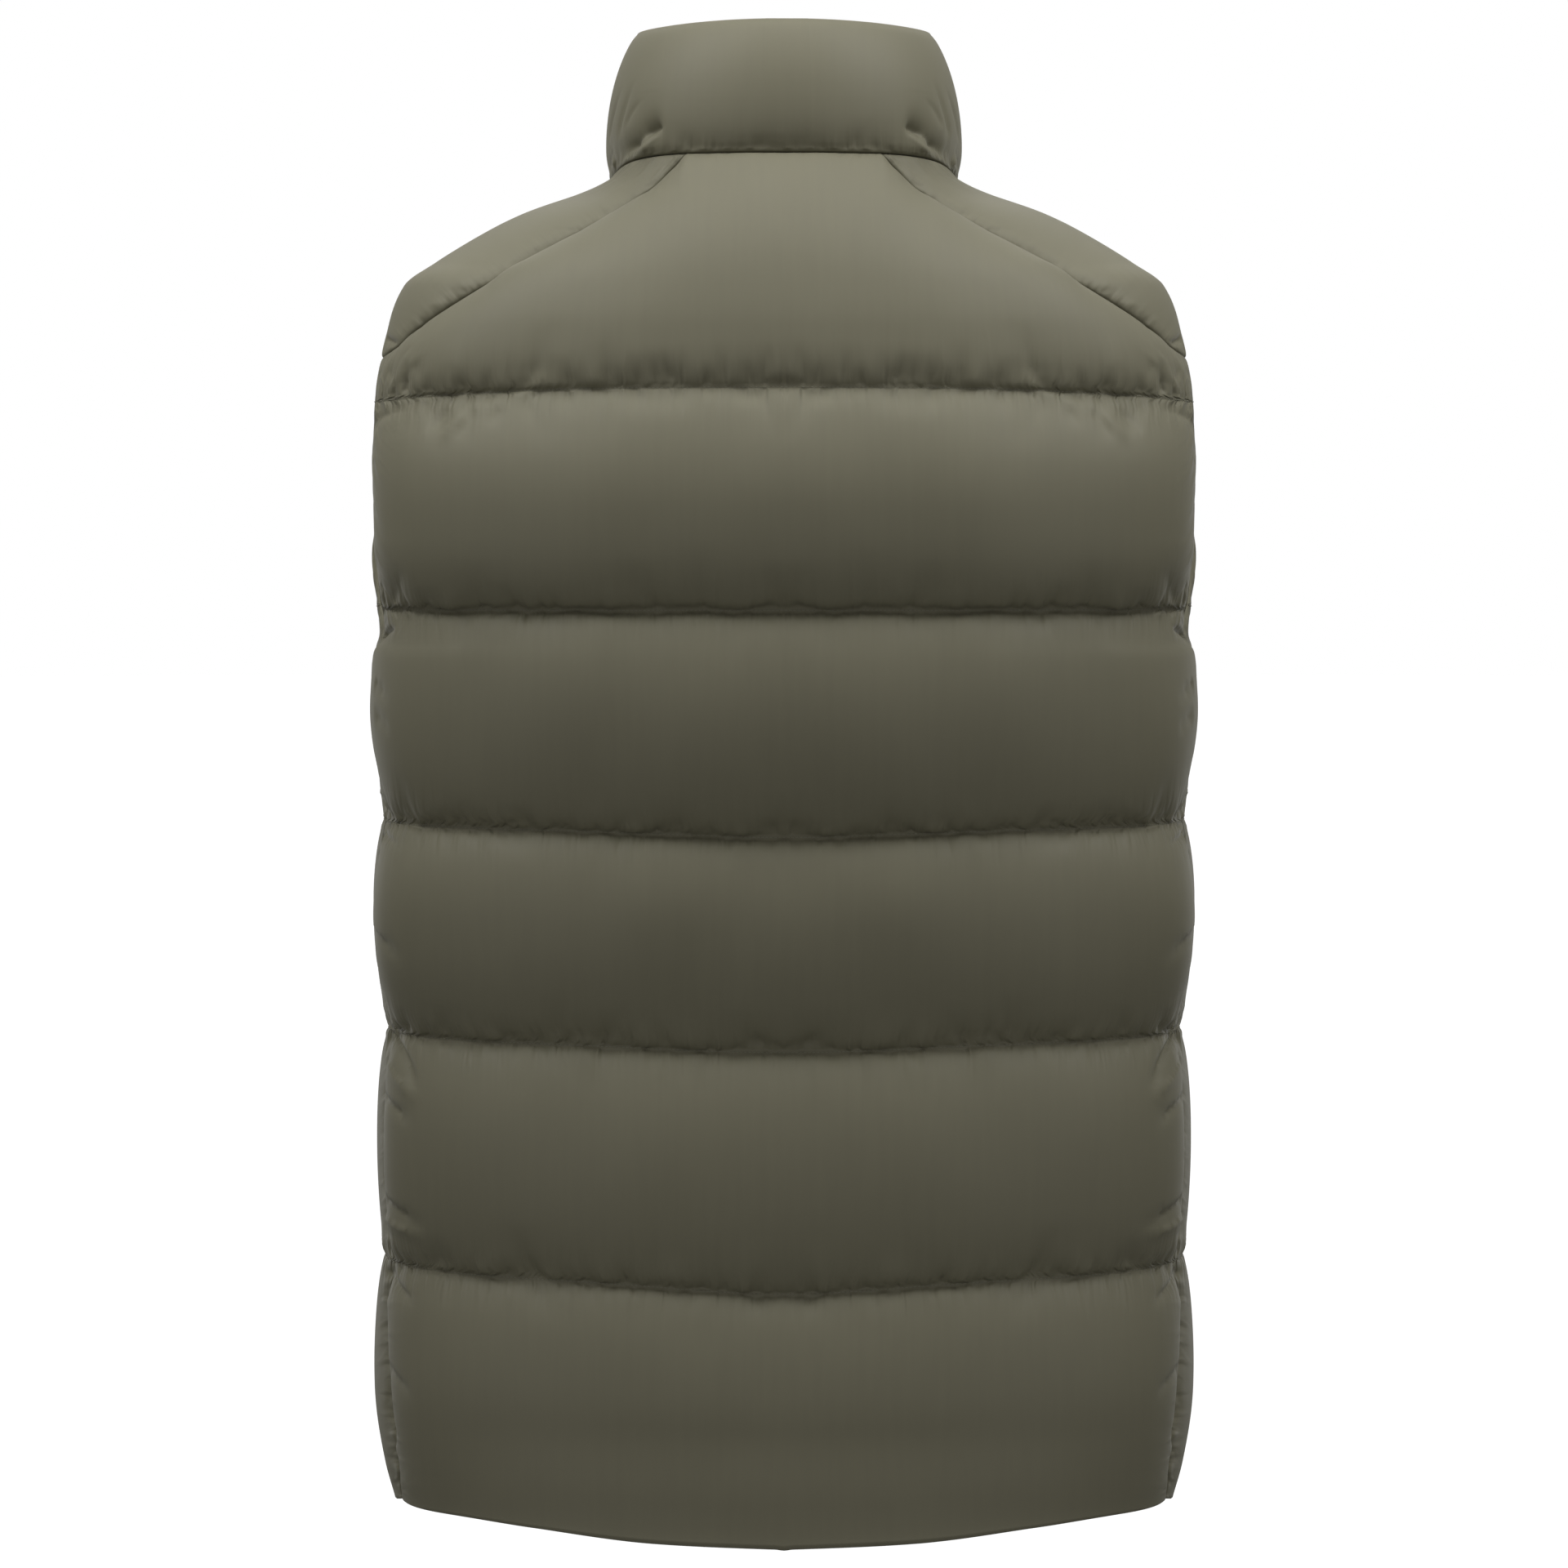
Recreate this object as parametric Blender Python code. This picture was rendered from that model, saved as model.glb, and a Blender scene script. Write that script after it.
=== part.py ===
"""Quilted puffer vest with a stand collar, in the hollow form it has when it is worn.

Units are metres and +Z is up. The wearer faces -Y, so the back of the vest is its +Y side, and the
wearer's left side is +X. The origin is at the base of the neck, level with the tops of the
shoulders, where the wearer carries the garment.

Every padded piece is a wall. Its inner face is plain and lies on one smooth torso form. Its outer
face stands off by the thickness of the sewn seam, plus the loft of the filling, which swells
between the lines of quilting.
"""

import math

import bmesh
import bpy
import numpy as np

# Gaps and thicknesses
SEAM_GAP = 0.0003  # between two pieces that are sewn together
SEAM_WALL = 0.003  # outer cloth, flattened filling and lining, where they are stitched through
COLLAR_WALL = 0.0034

# The torso form, which is the inner face of the vest. Depths are at the centre back and front,
# and squareness is the power of the superellipse that each level section follows.
SECTION_COLUMNS = ("height", "half_width", "back_depth", "front_depth", "squareness")
SECTIONS = (
    (-0.6792, 0.1950, 0.1325, 0.1420, 2.45),
    (-0.655, 0.2000, 0.1280, 0.1395, 2.45),
    (-0.620, 0.2025, 0.1220, 0.1365, 2.45),
    (-0.549, 0.2020, 0.1210, 0.1390, 2.45),
    (-0.432, 0.2003, 0.1160, 0.1410, 2.45),
    (-0.385, 0.2030, 0.1180, 0.1420, 2.48),
    (-0.325, 0.2022, 0.1220, 0.1430, 2.50),
    (-0.262, 0.2008, 0.1270, 0.1430, 2.50),
    (-0.236, 0.2030, 0.1290, 0.1430, 2.50),
    (-0.207, 0.2122, 0.1310, 0.1410, 2.50),
    (-0.182, 0.2182, 0.1318, 0.1385, 2.48),
    (-0.150, 0.2190, 0.1322, 0.1340, 2.45),
    (-0.125, 0.2165, 0.1320, 0.1280, 2.42),
    (-0.107, 0.2128, 0.1310, 0.1230, 2.40),
    (-0.080, 0.2040, 0.1225, 0.1130, 2.35),
    (-0.057, 0.1895, 0.1135, 0.1020, 2.30),
    (-0.050, 0.1740, 0.1107, 0.0980, 2.30),
    (-0.027, 0.1290, 0.1000, 0.0720, 2.25),
    (-0.015, 0.1032, 0.0940, 0.0540, 2.30),
    (-0.008, 0.0924, 0.0905, 0.0410, 2.40),
    (-0.002, 0.0858, 0.0878, 0.0340, 2.50),
    (0.005, 0.0828, 0.0853, 0.0280, 2.50),
    (0.012, 0.0815, 0.0830, 0.0220, 2.50),
)

# Lines of quilting, from the hem up, and the channel above each: the loft of its filling, how
# far up its fullest part is, and how fast it rises from its lower and its upper line
QUILT_COLUMNS = ("line_height", "loft_above", "crown", "below", "above")
QUILTING = (
    (-0.6792, 0.0150, 0.60, 0.90, 0.50),
    (-0.549, 0.0170, 0.58, 0.38, 0.50),
    (-0.432, 0.0175, 0.60, 0.38, 0.50),
    (-0.325, 0.0185, 0.56, 0.38, 0.50),
    (-0.2172, 0.0175, 0.47, 0.42, 0.85),
    (-0.107, 0.0145, 0.52, 0.55, 0.70),
)
HEM_HEIGHT = QUILTING[0][0]
FIRST_LINE = QUILTING[1][0]
CHEST_LINE = QUILTING[-1][0]
ROWS_IN_CHANNEL = (0.0, 0.05, 0.20, 0.46, 0.74, 0.94, 1.0)
HEM_SHARE = 0.35  # of the lowest channel's loft that is left at the hem
HEM_LIFT_COLUMNS = ("across", "lift")
HEM_LIFT = ((0.0, 0.0), (0.33, 0.0024), (0.63, 0.0076), (0.85, 0.0105), (1.0, 0.0108))
FRONT_HEM_LIFT = 0.0028
CHEST_DROP_AT_SIDES = 0.0074

# How far from the side seam a panel's loft is drawn down by the sewing
BACK_EDGE_COLUMNS = ("height", "reach")
BACK_EDGE = ((-0.549, 0.014), (-0.380, 0.016), (-0.300, 0.026), (0.0, 0.024))
FRONT_ZIP_REACH = 0.016
FRONT_SIDE_REACH = 0.012
FRONT_SLOW_REACH = 0.15
FRONT_SIDE_SHARE = 0.2  # of a front's loft that is left at its side seam
CHEST_REACH = 0.05  # how fast the top channel fills as its room above the chest line grows

# The armhole is an oval seen from the side. Its middle line leans back on the way down.
ARMHOLE_TOP = -0.057
ARMHOLE_BOTTOM = -0.236
ARMHOLE_BACK = 0.050
ARMHOLE_FRONT = -0.068
ARMHOLE_LEAN = 0.024
SIDE_SEAM_COLUMNS = ("height", "depth")
SIDE_SEAM = (
    (-0.6792, 0.0430),
    (-0.650, 0.0490),
    (-0.611, 0.0460),
    (-0.549, 0.0380),
    (-0.476, 0.0360),
    (-0.400, 0.0300),
    (-0.325, 0.0290),
    (-0.270, 0.0160),
    (-0.236, 0.0240),
)

# The neck seam runs round the form, high at the back and low at the zip
NECK_BACK_HEIGHT = 0.0105
NECK_FRONT_HEIGHT = -0.050
NECK_BACK_DEPTH = 0.0834
NECK_FRONT_DEPTH = 0.098
NECK_FALL_POWER = 2.2

# Shoulder yokes: where their seams leave the neck and reach the armhole
YOKE_BACK_NECK_SHARE = 0.140  # of the neck seam, from the centre back to the centre front
YOKE_FRONT_NECK_SHARE = 0.735
YOKE_ARMHOLE_HEIGHT = -0.0907
YOKE_BACK_COLUMNS = ("across", "height")
YOKE_BACK_BENDS = (
    (0.0620, -0.0068),
    (0.0700, -0.0128),
    (0.0780, -0.0185),
    (0.0880, -0.0245),
    (0.1307, -0.0484),
    (0.1840, -0.0798),
    (0.1905, -0.0851),
)
YOKE_FRONT_BENDS = ((0.1150, -0.0560), (0.1700, -0.0800))
YOKE_LOFT = 0.0095
YOKE_SWELL_FORWARD = {"below": 0.6, "above": 0.6}
YOKE_SWELL_OUTWARD = {"below": 1.05, "above": 0.75}

# Stand collar
COLLAR_TOP_COLUMNS = ("way_forward", "height")
COLLAR_TOP = ((0.0, 0.0766), (0.25, 0.0751), (0.52, 0.0747), (1.0, 0.038))
COLLAR_TOP_HALF_WIDTH = 0.0755
COLLAR_TOP_BACK_DEPTH = 0.0780
COLLAR_TOP_FRONT_DEPTH = 0.0800
COLLAR_MIDDLE = -0.004
COLLAR_LOFT = 0.0079
COLLAR_SWELL = {"crown": 0.5, "below": 0.65, "above": 0.65}
COLLAR_ZIP_REACH = 0.012
COLLAR_ROWS = (0.0, 0.06, 0.18, 0.34, 0.5, 0.66, 0.82, 0.94, 1.0)

# Front zip. Levels are measured outwards from the inner face of the walls.
ZIP_GAP = 0.0085  # from the centre front to each front edge
ZIP_ROWS = 30
ZIP_PATH_BODY_POINTS, ZIP_PATH_COLLAR_POINTS = 25, 4
TAPE_LEVELS = (0.0008, 0.0018)
CHAIN_HALF_WIDTH = 0.0030
CHAIN_LEVELS = (0.0003, 0.0023)
SLIDER_BELOW_TOP = 0.0080
SLIDER_LENGTH = 0.0125
SLIDER_HALF_WIDTH = 0.0052
SLIDER_NECK_LENGTH = 0.0035
SLIDER_NECK_HALF_WIDTH = 0.0012
FRONT_PLATE_LEVELS = (0.0027, 0.0042)
BACK_PLATE_LEVELS = (-0.0014, -0.0001)
BRIDGE_HALF_WIDTH = 0.0014
BRIDGE_FROM_BOTTOM = 0.0022
BRIDGE_LENGTH = 0.0080
BRIDGE_CLEARANCE = 0.0030
BRIDGE_METAL = 0.0012
PULL_AXIS_FROM_LEG = 0.0014
PULL_LENGTH = 0.0340
PULL_HALF_WIDTH = 0.0043
PULL_THICKNESS = 0.0015
PULL_RAIL = 0.0018
PULL_EYE_LENGTH = 0.0062
BOX_HEIGHT = 0.0090
BOX_HALF_WIDTH = 0.0029
BOX_LEVELS = (-0.0005, 0.0033)

# How many strips each wall has
BACK_HALF_COLUMNS = 20
BACK_NECK_COLUMNS = 4
FRONT_COLUMNS = 22
FRONT_NECK_COLUMNS = 6
YOKE_COLUMNS = BACK_HALF_COLUMNS - BACK_NECK_COLUMNS
YOKE_ROWS = 10
SAMPLES = 240
SETTLE_ROUNDS, SETTLE_SHARE = 6, 0.9

OLIVE_SHELL = (0.118, 0.114, 0.082)
OLIVE_TAPE = (0.080, 0.078, 0.058)
OLIVE_TEETH = (0.060, 0.058, 0.044)
DARK_METAL = (0.090, 0.090, 0.088)


def smooth(xs, ys, at):
    """The value at each `at` of a smooth curve through the points, with no overshoot."""
    xs, ys = np.asarray(xs, float), np.asarray(ys, float)
    step = np.diff(xs)
    rise = np.diff(ys) / step
    slope = np.zeros(len(xs))
    slope[0], slope[-1] = rise[0], rise[-1]
    for i in range(1, len(xs) - 1):
        if rise[i - 1] * rise[i] > 0:
            before, after = 2 * step[i] + step[i - 1], step[i] + 2 * step[i - 1]
            slope[i] = (before + after) / (before / rise[i - 1] + after / rise[i])
    at = np.clip(at, xs[0], xs[-1])
    i = np.clip(np.searchsorted(xs, at) - 1, 0, len(xs) - 2)
    t = (at - xs[i]) / step[i]
    return (
        ys[i] * (1 + 2 * t) * (1 - t) ** 2
        + ys[i + 1] * t * t * (3 - 2 * t)
        + step[i] * t * (1 - t) * (slope[i] * (1 - t) - slope[i + 1] * t)
    )


def column(table, columns, name):
    return [row[columns.index(name)] for row in table]


def section(z):
    """Half width, back depth, front depth and squareness of the form at height z."""
    heights = column(SECTIONS, SECTION_COLUMNS, "height")
    return [smooth(heights, column(SECTIONS, SECTION_COLUMNS, c), z) for c in SECTION_COLUMNS[1:]]


def depth_at(y, z):
    _, back, front, _ = section(z)
    return np.where(y >= 0, back, front)


def side_x(y, z):
    """How far out the form is at depth y and height z."""
    half_width, _, _, power = section(z)
    share = np.clip(np.abs(y) / depth_at(y, z), 0, 1)
    return half_width * (1 - share**power) ** (1 / power)


def back_y(x, z):
    """How far back the form is at x across and height z."""
    half_width, back, _, power = section(z)
    return back * (1 - np.clip(np.abs(x) / half_width, 0, 1) ** power) ** (1 / power)


def front_y(x, z):
    half_width, _, front, power = section(z)
    return -front * (1 - np.clip(np.abs(x) / half_width, 0, 1) ** power) ** (1 / power)


def outside(points):
    """How far outside the form each point is, as a share of the section's size."""
    x, y, z = points[..., 0], points[..., 1], points[..., 2]
    half_width, _, _, power = section(z)
    return (np.abs(x / half_width) ** power + np.abs(y / depth_at(y, z)) ** power) ** (1 / power) - 1


def gradient(points):
    """How `outside` changes along x, y and z."""
    tiny = 2e-5
    return np.stack(
        [
            (outside(points + offset) - outside(points - offset)) / (2 * tiny)
            for offset in tiny * np.eye(3)
        ],
        axis=-1,
    )


def normals(points):
    """Unit vectors pointing out of the form."""
    steep = gradient(points)
    return steep / np.linalg.norm(steep, axis=-1, keepdims=True)


def settle(points):
    """Moves points that are near the form onto it, square to its surface."""
    points = np.array(points, float)
    for _ in range(SETTLE_ROUNDS):
        steep = gradient(points)
        size = np.sum(steep * steep, axis=-1, keepdims=True)
        points = points - SETTLE_SHARE * outside(points)[..., None] * steep / size
    return points


def resample(line, shares):
    """Points at these shares of the length of a line."""
    line = np.asarray(line, float)
    steps = np.linalg.norm(np.diff(line, axis=0), axis=1)
    along = np.concatenate([[0], np.cumsum(steps)]) / steps.sum()
    return np.stack([np.interp(shares, along, line[:, k]) for k in range(3)], axis=-1)


def mirrored(points):
    return points * np.array([-1.0, 1.0, 1.0])


def angle_of_depth(y, z):
    """The place of depth y on the half section at height z: 0 at the back, pi at the front."""
    _, _, _, power = section(z)
    share = np.clip(np.abs(y) / depth_at(y, z), 0, 1) ** (power / 2)
    return np.where(y >= 0, np.arccos(share), math.pi - np.arccos(share))


def angle_of_front_edge(z):
    half_width, _, _, power = section(z)
    return math.pi - np.arcsin((ZIP_GAP / half_width) ** (power / 2))


def level_line(z, start, end, shares):
    """Points along the level section at height z, between two angles of the half section."""
    half_width, back, front, power = section(z)
    angles = np.linspace(start, end, SAMPLES)
    x = half_width * np.abs(np.sin(angles)) ** (2 / power)
    reach = np.abs(np.cos(angles)) ** (2 / power)
    y = np.where(angles <= math.pi / 2, back * reach, -front * reach)
    return resample(np.stack([x, y, np.full(SAMPLES, z)], axis=-1), shares)


def armhole_middle(z):
    return ARMHOLE_LEAN * np.clip((ARMHOLE_TOP - z) / (ARMHOLE_TOP - ARMHOLE_BOTTOM), 0, 1)


def armhole_depth(z, width):
    middle, half_height = (ARMHOLE_TOP + ARMHOLE_BOTTOM) / 2, (ARMHOLE_TOP - ARMHOLE_BOTTOM) / 2
    oval = np.sqrt(np.clip(1 - ((z - middle) / half_height) ** 2, 0, 1))
    return armhole_middle(z) + width * oval


def side_edge_depth(z, width):
    """Depth of a panel's side edge: the side seam, and above it the armhole."""
    seam = smooth(
        column(SIDE_SEAM, SIDE_SEAM_COLUMNS, "height"),
        column(SIDE_SEAM, SIDE_SEAM_COLUMNS, "depth"),
        z,
    )
    return np.where(z <= ARMHOLE_BOTTOM, seam, armhole_depth(z, width))


def neck_line():
    """The neck seam on the wearer's left, from the centre back to the centre front."""
    middle = (NECK_BACK_DEPTH - NECK_FRONT_DEPTH) / 2
    reach = (NECK_BACK_DEPTH + NECK_FRONT_DEPTH) / 2
    y = middle + reach * np.cos(np.linspace(0, math.pi, SAMPLES))
    fall = ((NECK_BACK_DEPTH - y) / (NECK_BACK_DEPTH + NECK_FRONT_DEPTH)) ** NECK_FALL_POWER
    z = NECK_BACK_HEIGHT + (NECK_FRONT_HEIGHT - NECK_BACK_HEIGHT) * fall
    return np.stack([side_x(y, z), y, z], axis=-1)


def neck_points(start, end, count):
    return resample(neck_line(), np.linspace(start, end, count + 1))


def neck_share_of_front_edge():
    line = neck_line()
    steps = np.linalg.norm(np.diff(line, axis=0), axis=1)
    along = np.concatenate([[0], np.cumsum(steps)]) / steps.sum()
    front_half = slice(SAMPLES // 2, None)
    return float(np.interp(-ZIP_GAP, -line[front_half, 0], along[front_half]))


def yoke_seam(neck_share, bends, width, surface_y, count):
    """A yoke's seam on the wearer's left, from the neck to the armhole."""
    start = neck_points(neck_share, neck_share, 0)[0]
    end_y = float(armhole_depth(YOKE_ARMHOLE_HEIGHT, width))
    end = (float(side_x(end_y, YOKE_ARMHOLE_HEIGHT)), YOKE_ARMHOLE_HEIGHT)
    across = [start[0], *column(bends, YOKE_BACK_COLUMNS, "across"), end[0]]
    height = [start[2], *column(bends, YOKE_BACK_COLUMNS, "height"), end[1]]
    x = np.linspace(across[0], across[-1], SAMPLES)
    z = smooth(across, height, x)
    line = np.stack([x, surface_y(x, z), z], axis=-1)
    line[0], line[-1] = start, (end[0], end_y, end[1])
    return resample(line, np.linspace(0, 1, count + 1))


def back_yoke_seam(count):
    return yoke_seam(YOKE_BACK_NECK_SHARE, YOKE_BACK_BENDS, ARMHOLE_BACK, back_y, count)


def front_yoke_seam(count):
    return yoke_seam(YOKE_FRONT_NECK_SHARE, YOKE_FRONT_BENDS, ARMHOLE_FRONT, front_y, count)


def armhole_over_shoulder(count):
    """The armhole's edge on the yoke, from the back seam over the shoulder to the front seam."""
    middle, half_height = (ARMHOLE_TOP + ARMHOLE_BOTTOM) / 2, (ARMHOLE_TOP - ARMHOLE_BOTTOM) / 2
    turn = math.acos((YOKE_ARMHOLE_HEIGHT - middle) / half_height)
    angles = np.linspace(turn, -turn, SAMPLES)
    z = middle + half_height * np.cos(angles)
    width = np.where(angles > 0, ARMHOLE_BACK, -ARMHOLE_FRONT)
    y = armhole_middle(z) + width * np.sin(angles)
    return resample(np.stack([side_x(y, z), y, z], axis=-1), np.linspace(0, 1, count + 1))


def channel_heights():
    """Heights of the level rows from the hem to the chest line, with each row's channel and rise."""
    heights, channels, rises = [], [], []
    lines = column(QUILTING, QUILT_COLUMNS, "line_height")
    for channel, (low, high) in enumerate(zip(lines, lines[1:])):
        for rise in ROWS_IN_CHANNEL[:-1]:
            heights.append(low + (high - low) * rise)
            channels.append(channel)
            rises.append(rise)
    nearest = int(np.argmin([abs(z - ARMHOLE_BOTTOM) for z in heights]))
    heights[nearest] = ARMHOLE_BOTTOM
    low, high = lines[channels[nearest]], lines[channels[nearest] + 1]
    rises[nearest] = (ARMHOLE_BOTTOM - low) / (high - low)
    return heights, channels, rises


def swell(rise, crown=0.5, below=0.7, above=0.7):
    """Share of the loft across a channel, from 0 at one line of stitching to 0 at the next."""
    rise = np.clip(rise, 0, 1) ** (math.log(0.5) / math.log(crown))
    return (4 * rise * (1 - rise)) ** np.where(rise < 0.5, below, above)


def channel_puff(channel, rise):
    """The loft up a channel. The lowest one stays partly full at the hem."""
    _, loft, crown, below, above = QUILTING[channel]
    open_end = HEM_SHARE * (1 - rise) ** 2 if channel == 0 else 0.0
    return loft * (swell(rise, crown, below, above) + open_end)


def from_edge(distance, reach):
    """Rises from 0 at an edge to nearly 1, in a few times `reach`."""
    return 1 - np.exp(-distance / reach)


def lengths_along(grid):
    """Distance of each point of a grid from the first point of its row."""
    steps = np.linalg.norm(np.diff(grid, axis=1), axis=-1)
    return np.concatenate([np.zeros((len(grid), 1)), np.cumsum(steps, axis=1)], axis=1)


def bent(row):
    """A level row, raised at its ends near the hem and lowered at its ends near the chest line."""
    z = row[:, 2]
    last_below = QUILTING[-2][0]
    across = np.clip(np.abs(row[:, 0]) / section(z)[0], 0, 1)
    near_hem = np.clip((FIRST_LINE - z) / (FIRST_LINE - HEM_HEIGHT), 0, 1)
    near_chest = np.clip((z - last_below) / (CHEST_LINE - last_below), 0, 1)
    at_back = np.clip(row[:, 1] / SIDE_SEAM[0][1], 0, 1)
    lift = smooth(
        column(HEM_LIFT, HEM_LIFT_COLUMNS, "across"), column(HEM_LIFT, HEM_LIFT_COLUMNS, "lift"), across
    )
    lift = near_hem**2 * (FRONT_HEM_LIFT * across**2 * (1 - at_back) + lift * at_back)
    drop = CHEST_DROP_AT_SIDES * near_chest * across**3
    return settle(row + (lift - drop)[:, None] * np.array([0, 0, 1]))


def grid_of_panel(level_row, top_line):
    """Rows of points from the hem to the top edge, with the loft above each point's channel."""
    heights, channels, rises = channel_heights()
    rows = [bent(level_row(z)) for z in heights]
    puff = [channel_puff(channel, rise) * np.ones(len(top_line)) for channel, rise in zip(channels, rises)]
    chest = bent(level_row(CHEST_LINE))
    room = from_edge(np.linalg.norm(top_line - chest, axis=1), CHEST_REACH)
    for rise in ROWS_IN_CHANNEL:
        between = chest + (top_line - chest) * rise
        rows.append(between if rise in (0.0, 1.0) else settle(between))
        puff.append(channel_puff(len(QUILTING) - 1, rise) * room)
    return np.array(rows), np.array(puff)


def back_grid():
    shares = np.linspace(0, 1, BACK_HALF_COLUMNS + 1)

    def both_sides(half):
        return np.concatenate([mirrored(half[:0:-1]), half])

    def level_row(z):
        edge = angle_of_depth(side_edge_depth(z, ARMHOLE_BACK), z)
        return both_sides(level_line(z, 0, edge, shares))

    neck = neck_points(0, YOKE_BACK_NECK_SHARE, BACK_NECK_COLUMNS)
    top_line = both_sides(np.concatenate([neck[:-1], back_yoke_seam(YOKE_COLUMNS)]))
    rows, puff = grid_of_panel(level_row, top_line)
    along = lengths_along(rows)
    to_edge = np.minimum(along, along[:, -1:] - along)
    reach = smooth(
        column(BACK_EDGE, BACK_EDGE_COLUMNS, "height"),
        column(BACK_EDGE, BACK_EDGE_COLUMNS, "reach"),
        rows[..., 2],
    )
    return rows, puff * from_edge(to_edge, reach)


def front_grid():
    """The front on the wearer's left, from the zip to the side seam."""
    shares = np.linspace(0, 1, FRONT_COLUMNS + 1)

    def level_row(z):
        edge = angle_of_depth(side_edge_depth(z, ARMHOLE_FRONT), z)
        return level_line(z, angle_of_front_edge(z), edge, shares)

    neck = neck_points(neck_share_of_front_edge(), YOKE_FRONT_NECK_SHARE, FRONT_NECK_COLUMNS)
    neck[0, 0] = ZIP_GAP
    seam = front_yoke_seam(FRONT_COLUMNS - FRONT_NECK_COLUMNS)
    rows, puff = grid_of_panel(level_row, np.concatenate([neck[:-1], seam]))
    along = lengths_along(rows)
    to_side = along[:, -1:] - along
    slow = FRONT_SIDE_SHARE + (1 - FRONT_SIDE_SHARE) * from_edge(to_side, FRONT_SLOW_REACH)
    return rows, puff * from_edge(along, FRONT_ZIP_REACH) * from_edge(to_side, FRONT_SIDE_REACH) * slow


def coons(low, high, left, right):
    """A grid filled in between four edge lines that meet at their ends."""
    v = np.linspace(0, 1, len(left))[:, None, None]
    u = np.linspace(0, 1, len(low))[None, :, None]
    ruled = (1 - v) * low[None] + v * high[None] + (1 - u) * left[:, None] + u * right[:, None]
    corners = (1 - v) * ((1 - u) * low[0] + u * low[-1]) + v * ((1 - u) * high[0] + u * high[-1])
    return ruled - corners


def yoke_grid():
    """The shoulder yoke on the wearer's left. Rows run from the back seam to the front seam."""
    low, high = back_yoke_seam(YOKE_COLUMNS), front_yoke_seam(YOKE_COLUMNS)
    left = neck_points(YOKE_BACK_NECK_SHARE, YOKE_FRONT_NECK_SHARE, YOKE_ROWS)
    right = armhole_over_shoulder(YOKE_ROWS)
    grid = coons(low, high, left, right)
    grid[1:-1, 1:-1] = settle(grid)[1:-1, 1:-1]
    across = swell(np.linspace(0, 1, YOKE_ROWS + 1), **YOKE_SWELL_FORWARD)
    outward = swell(np.linspace(0, 1, YOKE_COLUMNS + 1), **YOKE_SWELL_OUTWARD)
    return grid, YOKE_LOFT * across[:, None] * outward[None, :]


def neck_ring():
    """The whole neck seam: its points and the way out of the body's cloth towards the collar."""
    half = np.concatenate(
        [
            neck_points(0, YOKE_BACK_NECK_SHARE, BACK_NECK_COLUMNS)[:-1],
            neck_points(YOKE_BACK_NECK_SHARE, YOKE_FRONT_NECK_SHARE, YOKE_ROWS)[:-1],
            neck_points(YOKE_FRONT_NECK_SHARE, neck_share_of_front_edge(), FRONT_NECK_COLUMNS),
        ]
    )
    half[-1, 0] = ZIP_GAP
    ring = np.concatenate([half[::-1], mirrored(half)[1:]])
    along = np.gradient(ring, axis=0)
    away = np.cross(normals(ring), along)
    away /= np.linalg.norm(away, axis=1, keepdims=True)
    return ring, away


def collar_top_line(ring):
    """The collar's outer top edge, with a point above each point of the neck seam."""
    angle = np.arctan2(
        ring[:, 0] / COLLAR_TOP_HALF_WIDTH, (ring[:, 1] - COLLAR_MIDDLE) / COLLAR_TOP_BACK_DEPTH
    )
    edge = math.pi - math.asin(ZIP_GAP / COLLAR_TOP_HALF_WIDTH)
    angle[0], angle[-1] = edge, -edge
    depth = np.where(np.cos(angle) >= 0, COLLAR_TOP_BACK_DEPTH, COLLAR_TOP_FRONT_DEPTH)
    y = depth * np.cos(angle)
    forward = (COLLAR_TOP_BACK_DEPTH - y) / (COLLAR_TOP_BACK_DEPTH + COLLAR_TOP_FRONT_DEPTH)
    z = smooth(
        column(COLLAR_TOP, COLLAR_TOP_COLUMNS, "way_forward"),
        column(COLLAR_TOP, COLLAR_TOP_COLUMNS, "height"),
        forward,
    )
    return np.stack([COLLAR_TOP_HALF_WIDTH * np.sin(angle), y, z], axis=-1)


def grid_normals(grid):
    """Unit vectors square to a grid, on the side that faces away from the neck's axis."""
    out = np.cross(np.gradient(grid, axis=1), np.gradient(grid, axis=0))
    out = out / np.linalg.norm(out, axis=-1, keepdims=True)
    away = grid * np.array([1.0, 1.0, 0.0])
    return out * np.sign(np.sum(out * away, axis=-1, keepdims=True))


def collar_walls():
    """Inner and outer points of the collar, bottom row first. Its rim meets the body's rim."""
    ring, away = neck_ring()
    inner_bottom = ring + away * SEAM_GAP / 2
    outer_bottom = inner_bottom + normals(ring) * SEAM_WALL
    outer_top = collar_top_line(ring)
    rise = np.array(COLLAR_ROWS)[:, None, None]
    face = outer_bottom * (1 - rise) + outer_top * rise
    out = grid_normals(face)
    out[:, 0], out[:, -1] = out[:, 1], out[:, -2]
    inner_top = outer_top - out[-1] * COLLAR_WALL
    along = lengths_along(face)
    to_edge = np.minimum(along, along[:, -1:] - along)
    puff = COLLAR_LOFT * swell(np.array(COLLAR_ROWS), **COLLAR_SWELL)[:, None]
    puff = puff * from_edge(to_edge, COLLAR_ZIP_REACH)
    walls = inner_bottom * (1 - rise) + inner_top * rise, face + out * puff[..., None]
    for wall in walls:
        wall[:, 0, 0], wall[:, -1, 0] = ZIP_GAP, -ZIP_GAP
    return walls


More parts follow.
